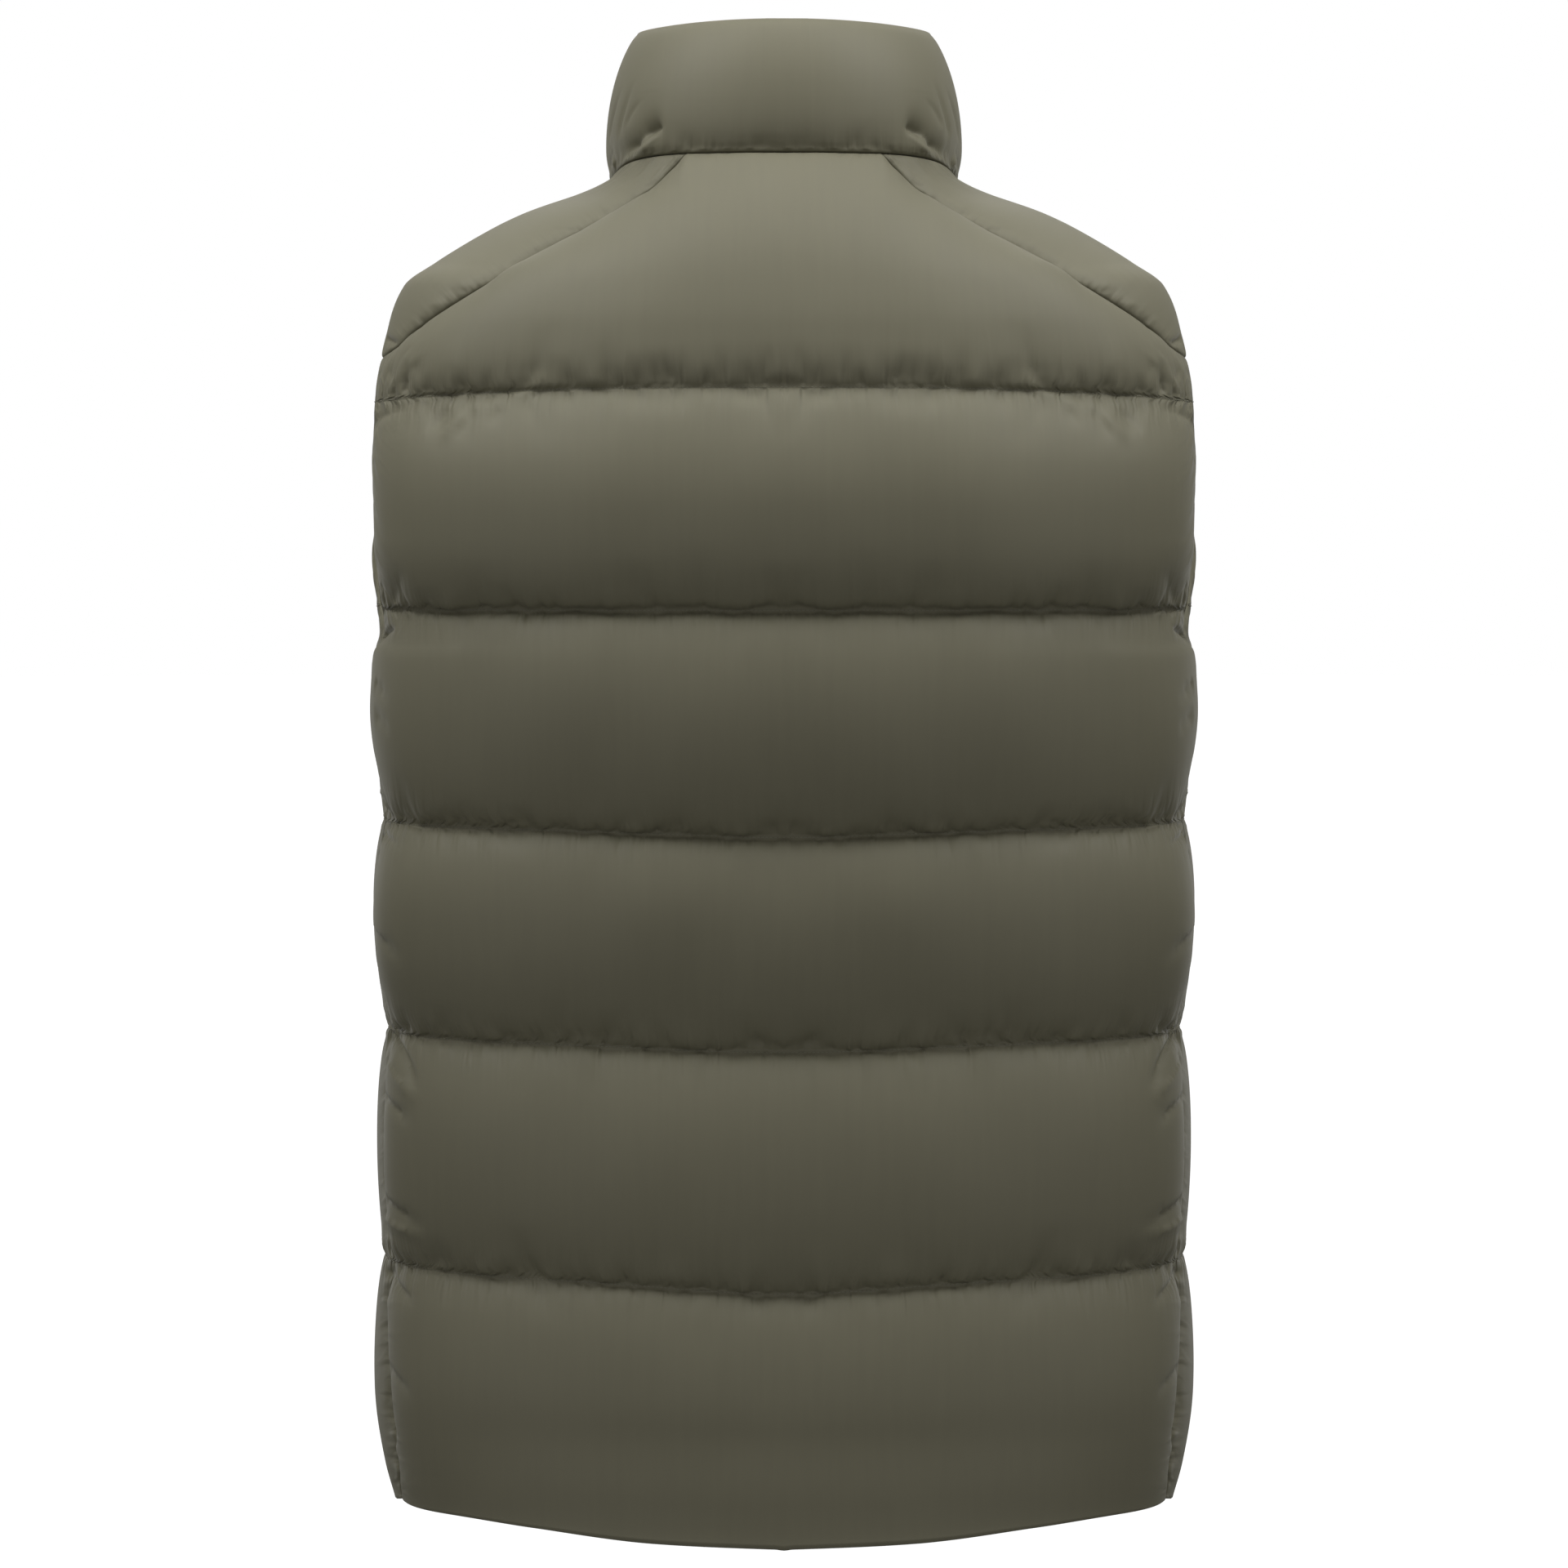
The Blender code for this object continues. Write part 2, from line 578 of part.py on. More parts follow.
def drawn_in(grid, sides, by):
    """The same grid with the named edges moved into the piece, to leave half a seam gap."""
    grid = grid.copy()
    edges = {
        "first_row": (np.s_[0], np.s_[1]),
        "last_row": (np.s_[-1], np.s_[-2]),
        "first_column": (np.s_[:, 0], np.s_[:, 1]),
        "last_column": (np.s_[:, -1], np.s_[:, -2]),
    }
    moves = np.zeros_like(grid)
    for side in sides:
        edge, inside = edges[side]
        way = grid[inside] - grid[edge]
        moves[edge] += by * way / np.linalg.norm(way, axis=-1, keepdims=True)
    return grid + moves


def coarse(count, step):
    """Every `step`th index of a row of points, with both ends."""
    kept = list(range(0, count, step))
    return kept if kept[-1] == count - 1 else [*kept, count - 1]


def wall_mesh(name, inner, outer, inner_step=2):
    """A closed wall: a fine outer face, a plain inner face with fewer points, and the rim."""
    rows, columns = outer.shape[:2]
    kept_rows, kept_columns = coarse(rows, inner_step), coarse(columns, inner_step)
    points = [*outer.reshape(-1, 3)]
    inner_index = {}
    for r in kept_rows:
        for c in kept_columns:
            inner_index[r, c] = len(points)
            points.append(inner[r, c])
    faces = []
    for r in range(rows - 1):
        for c in range(columns - 1):
            corner = r * columns + c
            faces.append((corner, corner + 1, corner + columns + 1, corner + columns))
    for r, next_r in zip(kept_rows, kept_rows[1:]):
        for c, next_c in zip(kept_columns, kept_columns[1:]):
            keys = ((r, c), (next_r, c), (next_r, next_c), (r, next_c))
            faces.append(tuple(inner_index[key] for key in keys))
    rim = [(r, 0) for r in kept_rows]
    rim += [(rows - 1, c) for c in kept_columns[1:]]
    rim += [(r, columns - 1) for r in kept_rows[-2::-1]]
    rim += [(0, c) for c in kept_columns[-2:0:-1]]
    for here, there in zip(rim, [*rim[1:], rim[0]]):
        steps = max(abs(there[0] - here[0]), abs(there[1] - here[1]))
        way = ((there[0] - here[0]) // steps, (there[1] - here[1]) // steps)
        edge = [(here[0] + k * way[0]) * columns + here[1] + k * way[1] for k in range(steps + 1)]
        faces.append((inner_index[here], *edge, inner_index[there]))
    return solid(name, points, faces)


def solid(name, points, faces, sharp=50):
    """A mesh object whose faces point outwards, with edges over `sharp` degrees kept crisp."""
    mesh = bpy.data.meshes.new(name)
    mesh.from_pydata([tuple(p) for p in points], [], faces)
    shape = bmesh.new()
    shape.from_mesh(mesh)
    bmesh.ops.triangulate(shape, faces=shape.faces)
    bmesh.ops.recalc_face_normals(shape, faces=shape.faces)
    shape.to_mesh(mesh)
    shape.free()
    mesh.shade_smooth()
    mesh.set_sharp_from_angle(angle=math.radians(sharp))
    made = bpy.data.objects.new(name, mesh)
    bpy.context.scene.collection.objects.link(made)
    return made


def padded_wall(name, grid, puff, seams):
    """A padded piece on the torso form, with half a seam gap along its sewn edges."""
    inner = drawn_in(grid, seams, SEAM_GAP / 2)
    outer = inner + normals(grid) * (SEAM_WALL + puff)[..., None]
    return wall_mesh(name, inner, outer)


def zip_path():
    """Points down the centre front on the inner face, from the hem up to the collar's top."""
    heights = np.linspace(HEM_HEIGHT, NECK_FRONT_HEIGHT, ZIP_PATH_BODY_POINTS)
    body = np.array([(0, -section(z)[2], z) for z in heights])
    inner, _ = collar_walls()
    top = inner[-1, 0] * np.array([0, 1, 1])
    collar = body[-1] + (top - body[-1]) * np.linspace(0, 1, ZIP_PATH_COLLAR_POINTS + 1)[1:, None]
    return np.concatenate([body, collar])


def frames_along(path):
    """Unit vectors at each point of a path in the YZ plane: up along it, and out to the front."""
    up = np.gradient(path, axis=0)
    up /= np.linalg.norm(up, axis=1, keepdims=True)
    return up, np.cross(up, (-1.0, 0.0, 0.0))


def part_of_path(start, end, count):
    """Evenly spaced points of the zip's path between two distances from the hem."""
    path = zip_path()
    total = np.linalg.norm(np.diff(path, axis=0), axis=1).sum()
    return resample(path, np.linspace(start, end, count + 1) / total)


def path_length():
    return float(np.linalg.norm(np.diff(zip_path(), axis=0), axis=1).sum())


def strip(name, start, end, edges, levels):
    """A flat strip along the zip's path, between two edges across and two levels out."""
    path = part_of_path(start, end, ZIP_ROWS)
    _, out = frames_along(path)
    across = np.array([1.0, 0.0, 0.0])
    grids = [
        np.stack([path + across * edge + out * level for edge in edges], axis=1)
        for level in levels
    ]
    return wall_mesh(name, *grids, inner_step=1)


def slider_frame():
    """Where the slider sits: its bottom centre on the wall's inner face, and its axes."""
    bottom = path_length() - SLIDER_BELOW_TOP - SLIDER_LENGTH
    low, high = part_of_path(bottom, bottom + SLIDER_LENGTH, 1)
    up = (high - low) / np.linalg.norm(high - low)
    return low, up, np.cross(up, (-1.0, 0.0, 0.0)), bottom


def blocks(name, boxes, origin, up, out):
    """One solid made of touching boxes. A box is (across, along, level), each (from, to)."""
    cuts = [sorted({round(edge, 7) for box in boxes for edge in box[axis]}) for axis in range(3)]
    middles = [[(a + b) / 2 for a, b in zip(c, c[1:])] for c in cuts]

    def filled(cell):
        if any(not 0 <= i < len(m) for i, m in zip(cell, middles)):
            return False
        at = [m[i] for i, m in zip(cell, middles)]
        return any(all(low < p < high for p, (low, high) in zip(at, box)) for box in boxes)

    index, faces = {}, []

    def corner(key):
        return index.setdefault(key, len(index))

    for i in range(len(middles[0])):
        for j in range(len(middles[1])):
            for k in range(len(middles[2])):
                if not filled((i, j, k)):
                    continue
                for axis in range(3):
                    for side in (0, 1):
                        beyond = [i, j, k]
                        beyond[axis] += 2 * side - 1
                        if filled(beyond):
                            continue
                        keys = []
                        for a, b in ((0, 0), (1, 0), (1, 1), (0, 1)):
                            key = [i, j, k]
                            key[axis] += side
                            key[(axis + 1) % 3] += a
                            key[(axis + 2) % 3] += b
                            keys.append(corner(tuple(key)))
                        faces.append(keys)
    axes = (np.array([1.0, 0.0, 0.0]), up, out)
    points = [
        origin + sum(cuts[axis][key[axis]] * axes[axis] for axis in range(3)) for key in index
    ]
    return solid(name, points, faces, sharp=30)


def slider():
    low, up, out, _ = slider_frame()
    wide = (-SLIDER_HALF_WIDTH, SLIDER_HALF_WIDTH)
    narrow = (-SLIDER_NECK_HALF_WIDTH, SLIDER_NECK_HALF_WIDTH)
    bridge = (-BRIDGE_HALF_WIDTH, BRIDGE_HALF_WIDTH)
    plate_top = FRONT_PLATE_LEVELS[1]
    under, over = plate_top + BRIDGE_CLEARANCE, plate_top + BRIDGE_CLEARANCE + BRIDGE_METAL
    first, last = BRIDGE_FROM_BOTTOM, BRIDGE_FROM_BOTTOM + BRIDGE_LENGTH
    boxes = (
        (wide, (0, SLIDER_LENGTH), FRONT_PLATE_LEVELS),
        (wide, (0, SLIDER_LENGTH), BACK_PLATE_LEVELS),
        (
            narrow,
            (SLIDER_LENGTH - SLIDER_NECK_LENGTH, SLIDER_LENGTH),
            (BACK_PLATE_LEVELS[1], FRONT_PLATE_LEVELS[0]),
        ),
        (bridge, (first, first + BRIDGE_METAL), (plate_top, over)),
        (bridge, (last - BRIDGE_METAL, last), (plate_top, over)),
        (bridge, (first, last), (under, over)),
    )
    return blocks("zip_slider", boxes, low, up, out)


def pull_axis():
    """The middle of the pull's rail, where it turns inside the slider's bridge."""
    low, up, out, _ = slider_frame()
    along = BRIDGE_FROM_BOTTOM + BRIDGE_METAL + PULL_AXIS_FROM_LEG
    return low + up * along + out * (FRONT_PLATE_LEVELS[1] + BRIDGE_CLEARANCE / 2)


def pull():
    """The pull tab, hanging down from the bridge against the front of the slider."""
    _, up, out, _ = slider_frame()
    wide = (-PULL_HALF_WIDTH, PULL_HALF_WIDTH)
    flat = (-PULL_THICKNESS / 2, PULL_THICKNESS / 2)
    eye_bottom = -PULL_RAIL / 2 - PULL_EYE_LENGTH
    inside = PULL_HALF_WIDTH - PULL_RAIL
    boxes = (
        (wide, (-PULL_RAIL / 2, PULL_RAIL / 2), flat),
        ((-PULL_HALF_WIDTH, -inside), (eye_bottom, -PULL_RAIL / 2), flat),
        ((inside, PULL_HALF_WIDTH), (eye_bottom, -PULL_RAIL / 2), flat),
        (wide, (PULL_RAIL / 2 - PULL_LENGTH, eye_bottom), flat),
    )
    return blocks("zip_pull", boxes, pull_axis(), up, out)


def front_zip():
    """Tapes from the hem to the collar's top, and between them the chain, box and slider."""
    top = path_length()
    outer = ZIP_GAP - SEAM_GAP
    inner = CHAIN_HALF_WIDTH + SEAM_GAP
    strip("zip_tape_left", 0, top, (inner, outer), TAPE_LEVELS)
    strip("zip_tape_right", 0, top, (-outer, -inner), TAPE_LEVELS)
    edges = (-CHAIN_HALF_WIDTH, CHAIN_HALF_WIDTH)
    chain_top = slider_frame()[3] + SLIDER_LENGTH - SLIDER_NECK_LENGTH - SEAM_GAP
    strip("zip_chain", BOX_HEIGHT + SEAM_GAP, chain_top, edges, CHAIN_LEVELS)
    low, high = part_of_path(0, BOX_HEIGHT, 1)
    up = (high - low) / np.linalg.norm(high - low)
    box = ((-BOX_HALF_WIDTH, BOX_HALF_WIDTH), (0, BOX_HEIGHT), BOX_LEVELS)
    blocks("zip_box", (box,), low, up, np.cross(up, (-1.0, 0.0, 0.0)))
    slider()
    pull()


def material(name, color, roughness, metallic=0.0):
    made = bpy.data.materials.new(name)
    made.use_nodes = True
    shader = made.node_tree.nodes["Principled BSDF"]
    shader.inputs["Base Color"].default_value = (*color, 1.0)
    shader.inputs["Roughness"].default_value = roughness
    shader.inputs["Metallic"].default_value = metallic
    made.diffuse_color = (*color, 1.0)
    return made


def main():
    for old in list(bpy.data.objects):
        bpy.data.objects.remove(old)
    padded_wall("back_panel", *back_grid(), ("first_column", "last_column", "last_row"))
    grid, puff = front_grid()
    sewn = ("last_column", "last_row")
    padded_wall("front_panel_left", grid, puff, sewn)
    padded_wall("front_panel_right", mirrored(grid), puff, sewn)
    grid, puff = yoke_grid()
    sewn = ("first_row", "last_row", "first_column")
    padded_wall("shoulder_yoke_left", grid, puff, sewn)
    padded_wall("shoulder_yoke_right", mirrored(grid), puff, sewn)
    wall_mesh("collar", *collar_walls())
    front_zip()
    looks = {
        "zip_tape": ("zip_tape_cloth", OLIVE_TAPE, 0.9, 0.0),
        "zip_chain": ("zip_teeth", OLIVE_TEETH, 0.5, 0.0),
        "zip_box": ("zip_teeth", OLIVE_TEETH, 0.5, 0.0),
        "zip_slider": ("zip_metal", DARK_METAL, 0.4, 1.0),
        "zip_pull": ("zip_metal", DARK_METAL, 0.4, 1.0),
    }
    for made in bpy.data.objects:
        look = next((v for k, v in looks.items() if made.name.startswith(k)), None)
        name, color, roughness, metallic = look or ("quilted_shell", OLIVE_SHELL, 0.75, 0.0)
        made.data.materials.append(material(f"{name}_{made.name}", color, roughness, metallic))


main()
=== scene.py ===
# %% [markdown]
# # A quilted puffer vest
#
# This lesson dresses a quilted vest with a tall stand collar. The vest hangs in the form it has
# when it is worn, with nobody in it. A plain solid model of it comes first, as a fixed frame, and
# everything here is made in metres around that frame: +Z is up, the wearer faces -Y, and the
# origin is between the tops of the shoulders.
#
# A padded garment is two layers of thin cloth with loose filling between them. Lines of sewing
# pin the layers together, and the filling blows up each channel like a pillow. So the work is
# done in that order: the form, the lines of sewing, then the air.

# %% Load the frame
import math

import bmesh
import bpy
import numpy as np
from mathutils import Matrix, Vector


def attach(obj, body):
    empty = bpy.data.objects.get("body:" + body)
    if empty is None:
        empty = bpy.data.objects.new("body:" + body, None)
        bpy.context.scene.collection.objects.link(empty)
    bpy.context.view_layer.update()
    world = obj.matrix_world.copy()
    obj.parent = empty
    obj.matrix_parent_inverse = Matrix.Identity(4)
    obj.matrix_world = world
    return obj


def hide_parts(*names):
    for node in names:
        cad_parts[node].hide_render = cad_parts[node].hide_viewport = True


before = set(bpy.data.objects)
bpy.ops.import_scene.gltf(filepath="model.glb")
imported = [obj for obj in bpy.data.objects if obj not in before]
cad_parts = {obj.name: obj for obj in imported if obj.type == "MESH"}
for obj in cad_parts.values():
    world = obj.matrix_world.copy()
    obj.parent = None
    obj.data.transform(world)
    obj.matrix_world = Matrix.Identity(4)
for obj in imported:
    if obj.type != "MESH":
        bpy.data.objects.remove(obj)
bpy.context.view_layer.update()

# %% [markdown]
# ## The form inside the vest
#
# A tailor starts from a dress form. Here the form is a stack of level sections, and each section
# is a superellipse: squarer than an ellipse, as a chest is. One row of the table gives a
# section's height, its half width, how deep it is behind and in front of the sides, and how
# square it is. A smooth curve through the rows gives every section in between.

# %% Sections of the form
SECTIONS = {
    "height": (-0.6792, -0.655, -0.620, -0.549, -0.432, -0.385, -0.325, -0.262, -0.236, -0.207, -0.182)
    + (-0.150, -0.125, -0.107, -0.080, -0.057, -0.050, -0.027, -0.015, -0.008, -0.002, 0.005, 0.012),
    "half_width": (0.1950, 0.2000, 0.2025, 0.2020, 0.2003, 0.2030, 0.2022, 0.2008, 0.2030, 0.2122, 0.2182)
    + (0.2190, 0.2165, 0.2128, 0.2040, 0.1895, 0.1740, 0.1290, 0.1032, 0.0924, 0.0858, 0.0828, 0.0815),
    "back_depth": (0.1325, 0.1280, 0.1220, 0.1210, 0.1160, 0.1180, 0.1220, 0.1270, 0.1290, 0.1310, 0.1318)
    + (0.1322, 0.1320, 0.1310, 0.1225, 0.1135, 0.1107, 0.1000, 0.0940, 0.0905, 0.0878, 0.0853, 0.0830),
    "front_depth": (0.1420, 0.1395, 0.1365, 0.1390, 0.1410, 0.1420, 0.1430, 0.1430, 0.1430, 0.1410, 0.1385)
    + (0.1340, 0.1280, 0.1230, 0.1130, 0.1020, 0.0980, 0.0720, 0.0540, 0.0410, 0.0340, 0.0280, 0.0220),
    "squareness": (2.45, 2.45, 2.45, 2.45, 2.45, 2.48, 2.50, 2.50, 2.50, 2.50, 2.48, 2.45)
    + (2.42, 2.40, 2.35, 2.30, 2.30, 2.25, 2.30, 2.40, 2.50, 2.50, 2.50),
}


def smooth(xs, ys, at):
    """The value at each `at` of a smooth curve through the points, with no overshoot."""
    xs, ys = np.asarray(xs, float), np.asarray(ys, float)
    step = np.diff(xs)
    rise = np.diff(ys) / step
    slope = np.zeros(len(xs))
    slope[0], slope[-1] = rise[0], rise[-1]
    for i in range(1, len(xs) - 1):
        if rise[i - 1] * rise[i] > 0:
            before, after = 2 * step[i] + step[i - 1], step[i] + 2 * step[i - 1]
            slope[i] = (before + after) / (before / rise[i - 1] + after / rise[i])
    at = np.clip(at, xs[0], xs[-1])
    i = np.clip(np.searchsorted(xs, at) - 1, 0, len(xs) - 2)
    t = (at - xs[i]) / step[i]
    return (
        ys[i] * (1 + 2 * t) * (1 - t) ** 2
        + ys[i + 1] * t * t * (3 - 2 * t)
        + step[i] * t * (1 - t) * (slope[i] * (1 - t) - slope[i + 1] * t)
    )


def section(z):
    """Half width, back depth, front depth and squareness of the form at height z."""
    return [smooth(SECTIONS["height"], SECTIONS[k], z) for k in list(SECTIONS)[1:]]


def depth_at(y, z):
    _, back, front, _ = section(z)
    return np.where(y >= 0, back, front)


def side_x(y, z):
    """How far out the form is at depth y and height z."""
    half_width, _, _, power = section(z)
    share = np.clip(np.abs(y) / depth_at(y, z), 0, 1)
    return half_width * (1 - share**power) ** (1 / power)


def outside(points):
    """How far outside the form each point is, as a share of the section's size."""
    x, y, z = points[..., 0], points[..., 1], points[..., 2]
    half_width, _, _, power = section(z)
    return (np.abs(x / half_width) ** power + np.abs(y / depth_at(y, z)) ** power) ** (1 / power) - 1


TINY_STEP = 2e-5
SETTLE_ROUNDS, SETTLE_SHARE = 6, 0.9


def gradient(points):
    """How `outside` changes along x, y and z."""
    pairs = [(outside(points + d), outside(points - d)) for d in TINY_STEP * np.eye(3)]
    return np.stack([(above - below) / (2 * TINY_STEP) for above, below in pairs], axis=-1)


def unit(vectors):
    return vectors / np.maximum(np.linalg.norm(vectors, axis=-1, keepdims=True), 1e-12)


def settle(points):
    """Moves points that are near the form onto it, square to its surface."""
    points = np.array(points, float)
    for _ in range(SETTLE_ROUNDS):
        steep = gradient(points)
        size = np.sum(steep * steep, axis=-1, keepdims=True)
        points = points - SETTLE_SHARE * outside(points)[..., None] * steep / size
    return points


def resample(line, shares):
    """Points at these shares of the length of a line."""
    line = np.asarray(line, float)
    steps = np.linalg.norm(np.diff(line, axis=0), axis=1)
    along = np.concatenate([[0], np.cumsum(steps)]) / steps.sum()
    return np.stack([np.interp(shares, along, line[:, k]) for k in range(3)], axis=-1)


def mirrored(points):
    return points * np.array([-1.0, 1.0, 1.0])


print("half width at the chest:", float(section(-0.15)[0]))

# %% [markdown]
# ## Lines on the form
#
# A maker draws the edges of each piece on the form before cutting: the neck, the armholes, the
# side seams and the two seams of each shoulder yoke. The armhole is an oval seen from the side,
# and its middle leans back on the way down, because an arm hangs a little behind the chest. The
# side seam starts at its foot and drifts back to the hem.

# %% Edges of the pieces
SEAM_GAP = 0.0003
SEAM_WALL = 0.003
COLLAR_WALL = 0.0034
ZIP_GAP = 0.0085
SAMPLES = 600

HEM, FIRST_LINE, CHEST_LINE = -0.6792, -0.549, -0.107
QUILT_LINES = (HEM, FIRST_LINE, -0.432, -0.325, -0.2157, CHEST_LINE)
CHANNELS = {
    "loft": (0.0150, 0.0170, 0.0175, 0.0185, 0.0175, 0.0145),
    "crown": (0.60, 0.58, 0.60, 0.56, 0.47, 0.52),
    "below": (0.90, 0.50, 0.50, 0.50, 0.50, 0.55),
    "above": (0.58, 0.58, 0.58, 0.56, 0.85, 0.70),
}
HEM_LIFT = {"across": (0, 0.33, 0.63, 0.85, 1), "lift": (0, 0.0024, 0.0076, 0.0105, 0.0108)}
FRONT_HEM_LIFT = 0.0028
MIDDLE_SAG = {"height": (HEM, FIRST_LINE, -0.432, -0.325, -0.2157), "sag": (0, 0.0055, 0.0032, 0.0028, 0)}
SAG_HALF_WIDTH = 0.07
CHEST_DROP_AT_SIDES = 0.0074
HEM_SHARE = 0.35
ARMHOLE_TOP, ARMHOLE_BOTTOM = -0.057, -0.236
ARMHOLE_BACK, ARMHOLE_FRONT, ARMHOLE_LEAN = 0.050, -0.068, 0.024
SIDE_SEAM = {
    "height": (-0.6792, -0.650, -0.611, -0.549, -0.476, -0.400, -0.325, -0.270, -0.236),
    "depth": (0.0430, 0.0490, 0.0460, 0.0380, 0.0360, 0.0300, 0.0290, 0.0160, 0.0240),
}
NECK_BACK_HEIGHT, NECK_FRONT_HEIGHT, NECK_FALL_POWER = 0.0105, -0.050, 2.2
NECK_BACK_DEPTH, NECK_FRONT_DEPTH = 0.0834, 0.098
YOKE_BACK_NECK_SHARE, YOKE_FRONT_NECK_SHARE = 0.140, 0.735
YOKE_ARMHOLE_HEIGHT = -0.0907
YOKE_BACK_BENDS = (
    *((0.0620, -0.0068), (0.0700, -0.0128), (0.0780, -0.0185), (0.0880, -0.0245), (0.1307, -0.0484)),
    *((0.1840, -0.0798), (0.1905, -0.0851)),
)
YOKE_FRONT_BENDS = ((0.1150, -0.0560), (0.1700, -0.0800))
YOKE_LOFT = 0.0095


def angle_of_depth(y, z):
    """The place of depth y on the half section at height z: 0 at the back, pi at the front."""
    share = np.clip(np.abs(y) / depth_at(y, z), 0, 1) ** (section(z)[3] / 2)
    return np.where(y >= 0, np.arccos(share), math.pi - np.arccos(share))


def angle_of_front_edge(z):
    half_width, _, _, power = section(z)
    return math.pi - np.arcsin((ZIP_GAP / half_width) ** (power / 2))


def level_line(z, start, end, shares):
    """Points along the level section at height z, between two angles of the half section."""
    half_width, back, front, power = section(z)
    angles = np.linspace(start, end, SAMPLES)
    x = half_width * np.abs(np.sin(angles)) ** (2 / power)
    reach = np.abs(np.cos(angles)) ** (2 / power)
    y = np.where(angles <= math.pi / 2, back * reach, -front * reach)
    return resample(np.stack([x, y, np.full(SAMPLES, z)], axis=-1), shares)


def armhole_depth(z, width):
    middle, half_height = (ARMHOLE_TOP + ARMHOLE_BOTTOM) / 2, (ARMHOLE_TOP - ARMHOLE_BOTTOM) / 2
    oval = np.sqrt(np.clip(1 - ((z - middle) / half_height) ** 2, 0, 1))
    lean = ARMHOLE_LEAN * np.clip((ARMHOLE_TOP - z) / (2 * half_height), 0, 1)
    return lean + width * oval


def side_edge_depth(z, width):
    """Depth of a panel's side edge: the side seam, and above it the armhole."""
    seam = smooth(SIDE_SEAM["height"], SIDE_SEAM["depth"], z)
    return np.where(z <= ARMHOLE_BOTTOM, seam, armhole_depth(z, width))


def neck_line():
    """The neck seam on the wearer's left, from the centre back to the centre front."""
    middle = (NECK_BACK_DEPTH - NECK_FRONT_DEPTH) / 2
    reach = (NECK_BACK_DEPTH + NECK_FRONT_DEPTH) / 2
    y = middle + reach * np.cos(np.linspace(0, math.pi, SAMPLES))
    fall = ((NECK_BACK_DEPTH - y) / (NECK_BACK_DEPTH + NECK_FRONT_DEPTH)) ** NECK_FALL_POWER
    z = NECK_BACK_HEIGHT + (NECK_FRONT_HEIGHT - NECK_BACK_HEIGHT) * fall
    return np.stack([side_x(y, z), y, z], axis=-1)


def neck_points(start, end, count):
    return resample(neck_line(), np.linspace(start, end, count + 1))


def neck_share_of_front_edge():
    line = neck_line()
    steps = np.linalg.norm(np.diff(line, axis=0), axis=1)
    along = np.concatenate([[0], np.cumsum(steps)]) / steps.sum()
    front_half = slice(SAMPLES // 2, None)
    return float(np.interp(-ZIP_GAP, -line[front_half, 0], along[front_half]))


def yoke_seam(neck_share, bends, width, count):
    """A yoke's seam on the wearer's left, from the neck to the armhole."""
    start = neck_points(neck_share, neck_share, 0)[0]
    end_y = float(armhole_depth(YOKE_ARMHOLE_HEIGHT, width))
    end = (float(side_x(end_y, YOKE_ARMHOLE_HEIGHT)), YOKE_ARMHOLE_HEIGHT)
    across = [start[0], *[b[0] for b in bends], end[0]]
    height = [start[2], *[b[1] for b in bends], end[1]]
    x = np.linspace(across[0], across[-1], SAMPLES)
    z = smooth(across, height, x)
    half_width, back, front, power = section(z)
    y = (1 - np.clip(x / half_width, 0, 1) ** power) ** (1 / power)
    y = y * (back if width > 0 else -front)
    line = np.stack([x, y, z], axis=-1)
    line[0], line[-1] = start, (end[0], end_y, end[1])
    return resample(line, np.linspace(0, 1, count + 1))


def armhole_over_shoulder(count):
    """The armhole's edge on the yoke, from the back seam over the shoulder to the front seam."""
    middle, half_height = (ARMHOLE_TOP + ARMHOLE_BOTTOM) / 2, (ARMHOLE_TOP - ARMHOLE_BOTTOM) / 2
    turn = math.acos((YOKE_ARMHOLE_HEIGHT - middle) / half_height)
    angles = np.linspace(turn, -turn, SAMPLES)
    z = middle + half_height * np.cos(angles)
    lean = ARMHOLE_LEAN * np.clip((ARMHOLE_TOP - z) / (2 * half_height), 0, 1)
    y = lean + np.where(angles > 0, ARMHOLE_BACK, -ARMHOLE_FRONT) * np.sin(angles)
    return resample(np.stack([side_x(y, z), y, z], axis=-1), np.linspace(0, 1, count + 1))


print("the neck seam's front edge is at share", round(neck_share_of_front_edge(), 3))

# %% [markdown]
# ## Grids for the cloth
#
# Each piece becomes a grid of points on the form. Rows run level, and a row lies exactly on each
# line of quilting, because those rows will be sewn down. Between two lines the rows are closer
# near the sewing, where the cloth gathers, and wider on the smooth crown. The columns fan from
# the hem up to the neck and yoke seams, so the whole armhole edge is one column.

# %% Grids of the panels
BACK_NECK_COLUMNS, YOKE_COLUMNS, FRONT_NECK_COLUMNS = 12, 48, 20
YOKE_ROWS, COLLAR_ROWS = 30, 24
ROWS_PER_CHANNEL = 20
ROW_CROWDING = 0.84
BACK_EDGE = {"height": (-0.549, -0.380, -0.300, 0.0), "reach": (0.014, 0.016, 0.026, 0.024)}
FRONT_ZIP_REACH, FRONT_SIDE_REACH = 0.016, 0.012
FRONT_SIDE_SHARE, FRONT_SLOW_REACH = 0.2, 0.15
CHEST_REACH = 0.05
YOKE_SWELL_FORWARD, YOKE_SWELL_OUTWARD = (0.6, 0.6), (1.05, 0.75)


def rises():
    """Shares of the way up a channel, closer together near its two lines of sewing."""
    turn = math.pi / 2 * ROW_CROWDING
    return (np.sin(np.linspace(-turn, turn, ROWS_PER_CHANNEL + 1)) / math.sin(turn) + 1) / 2


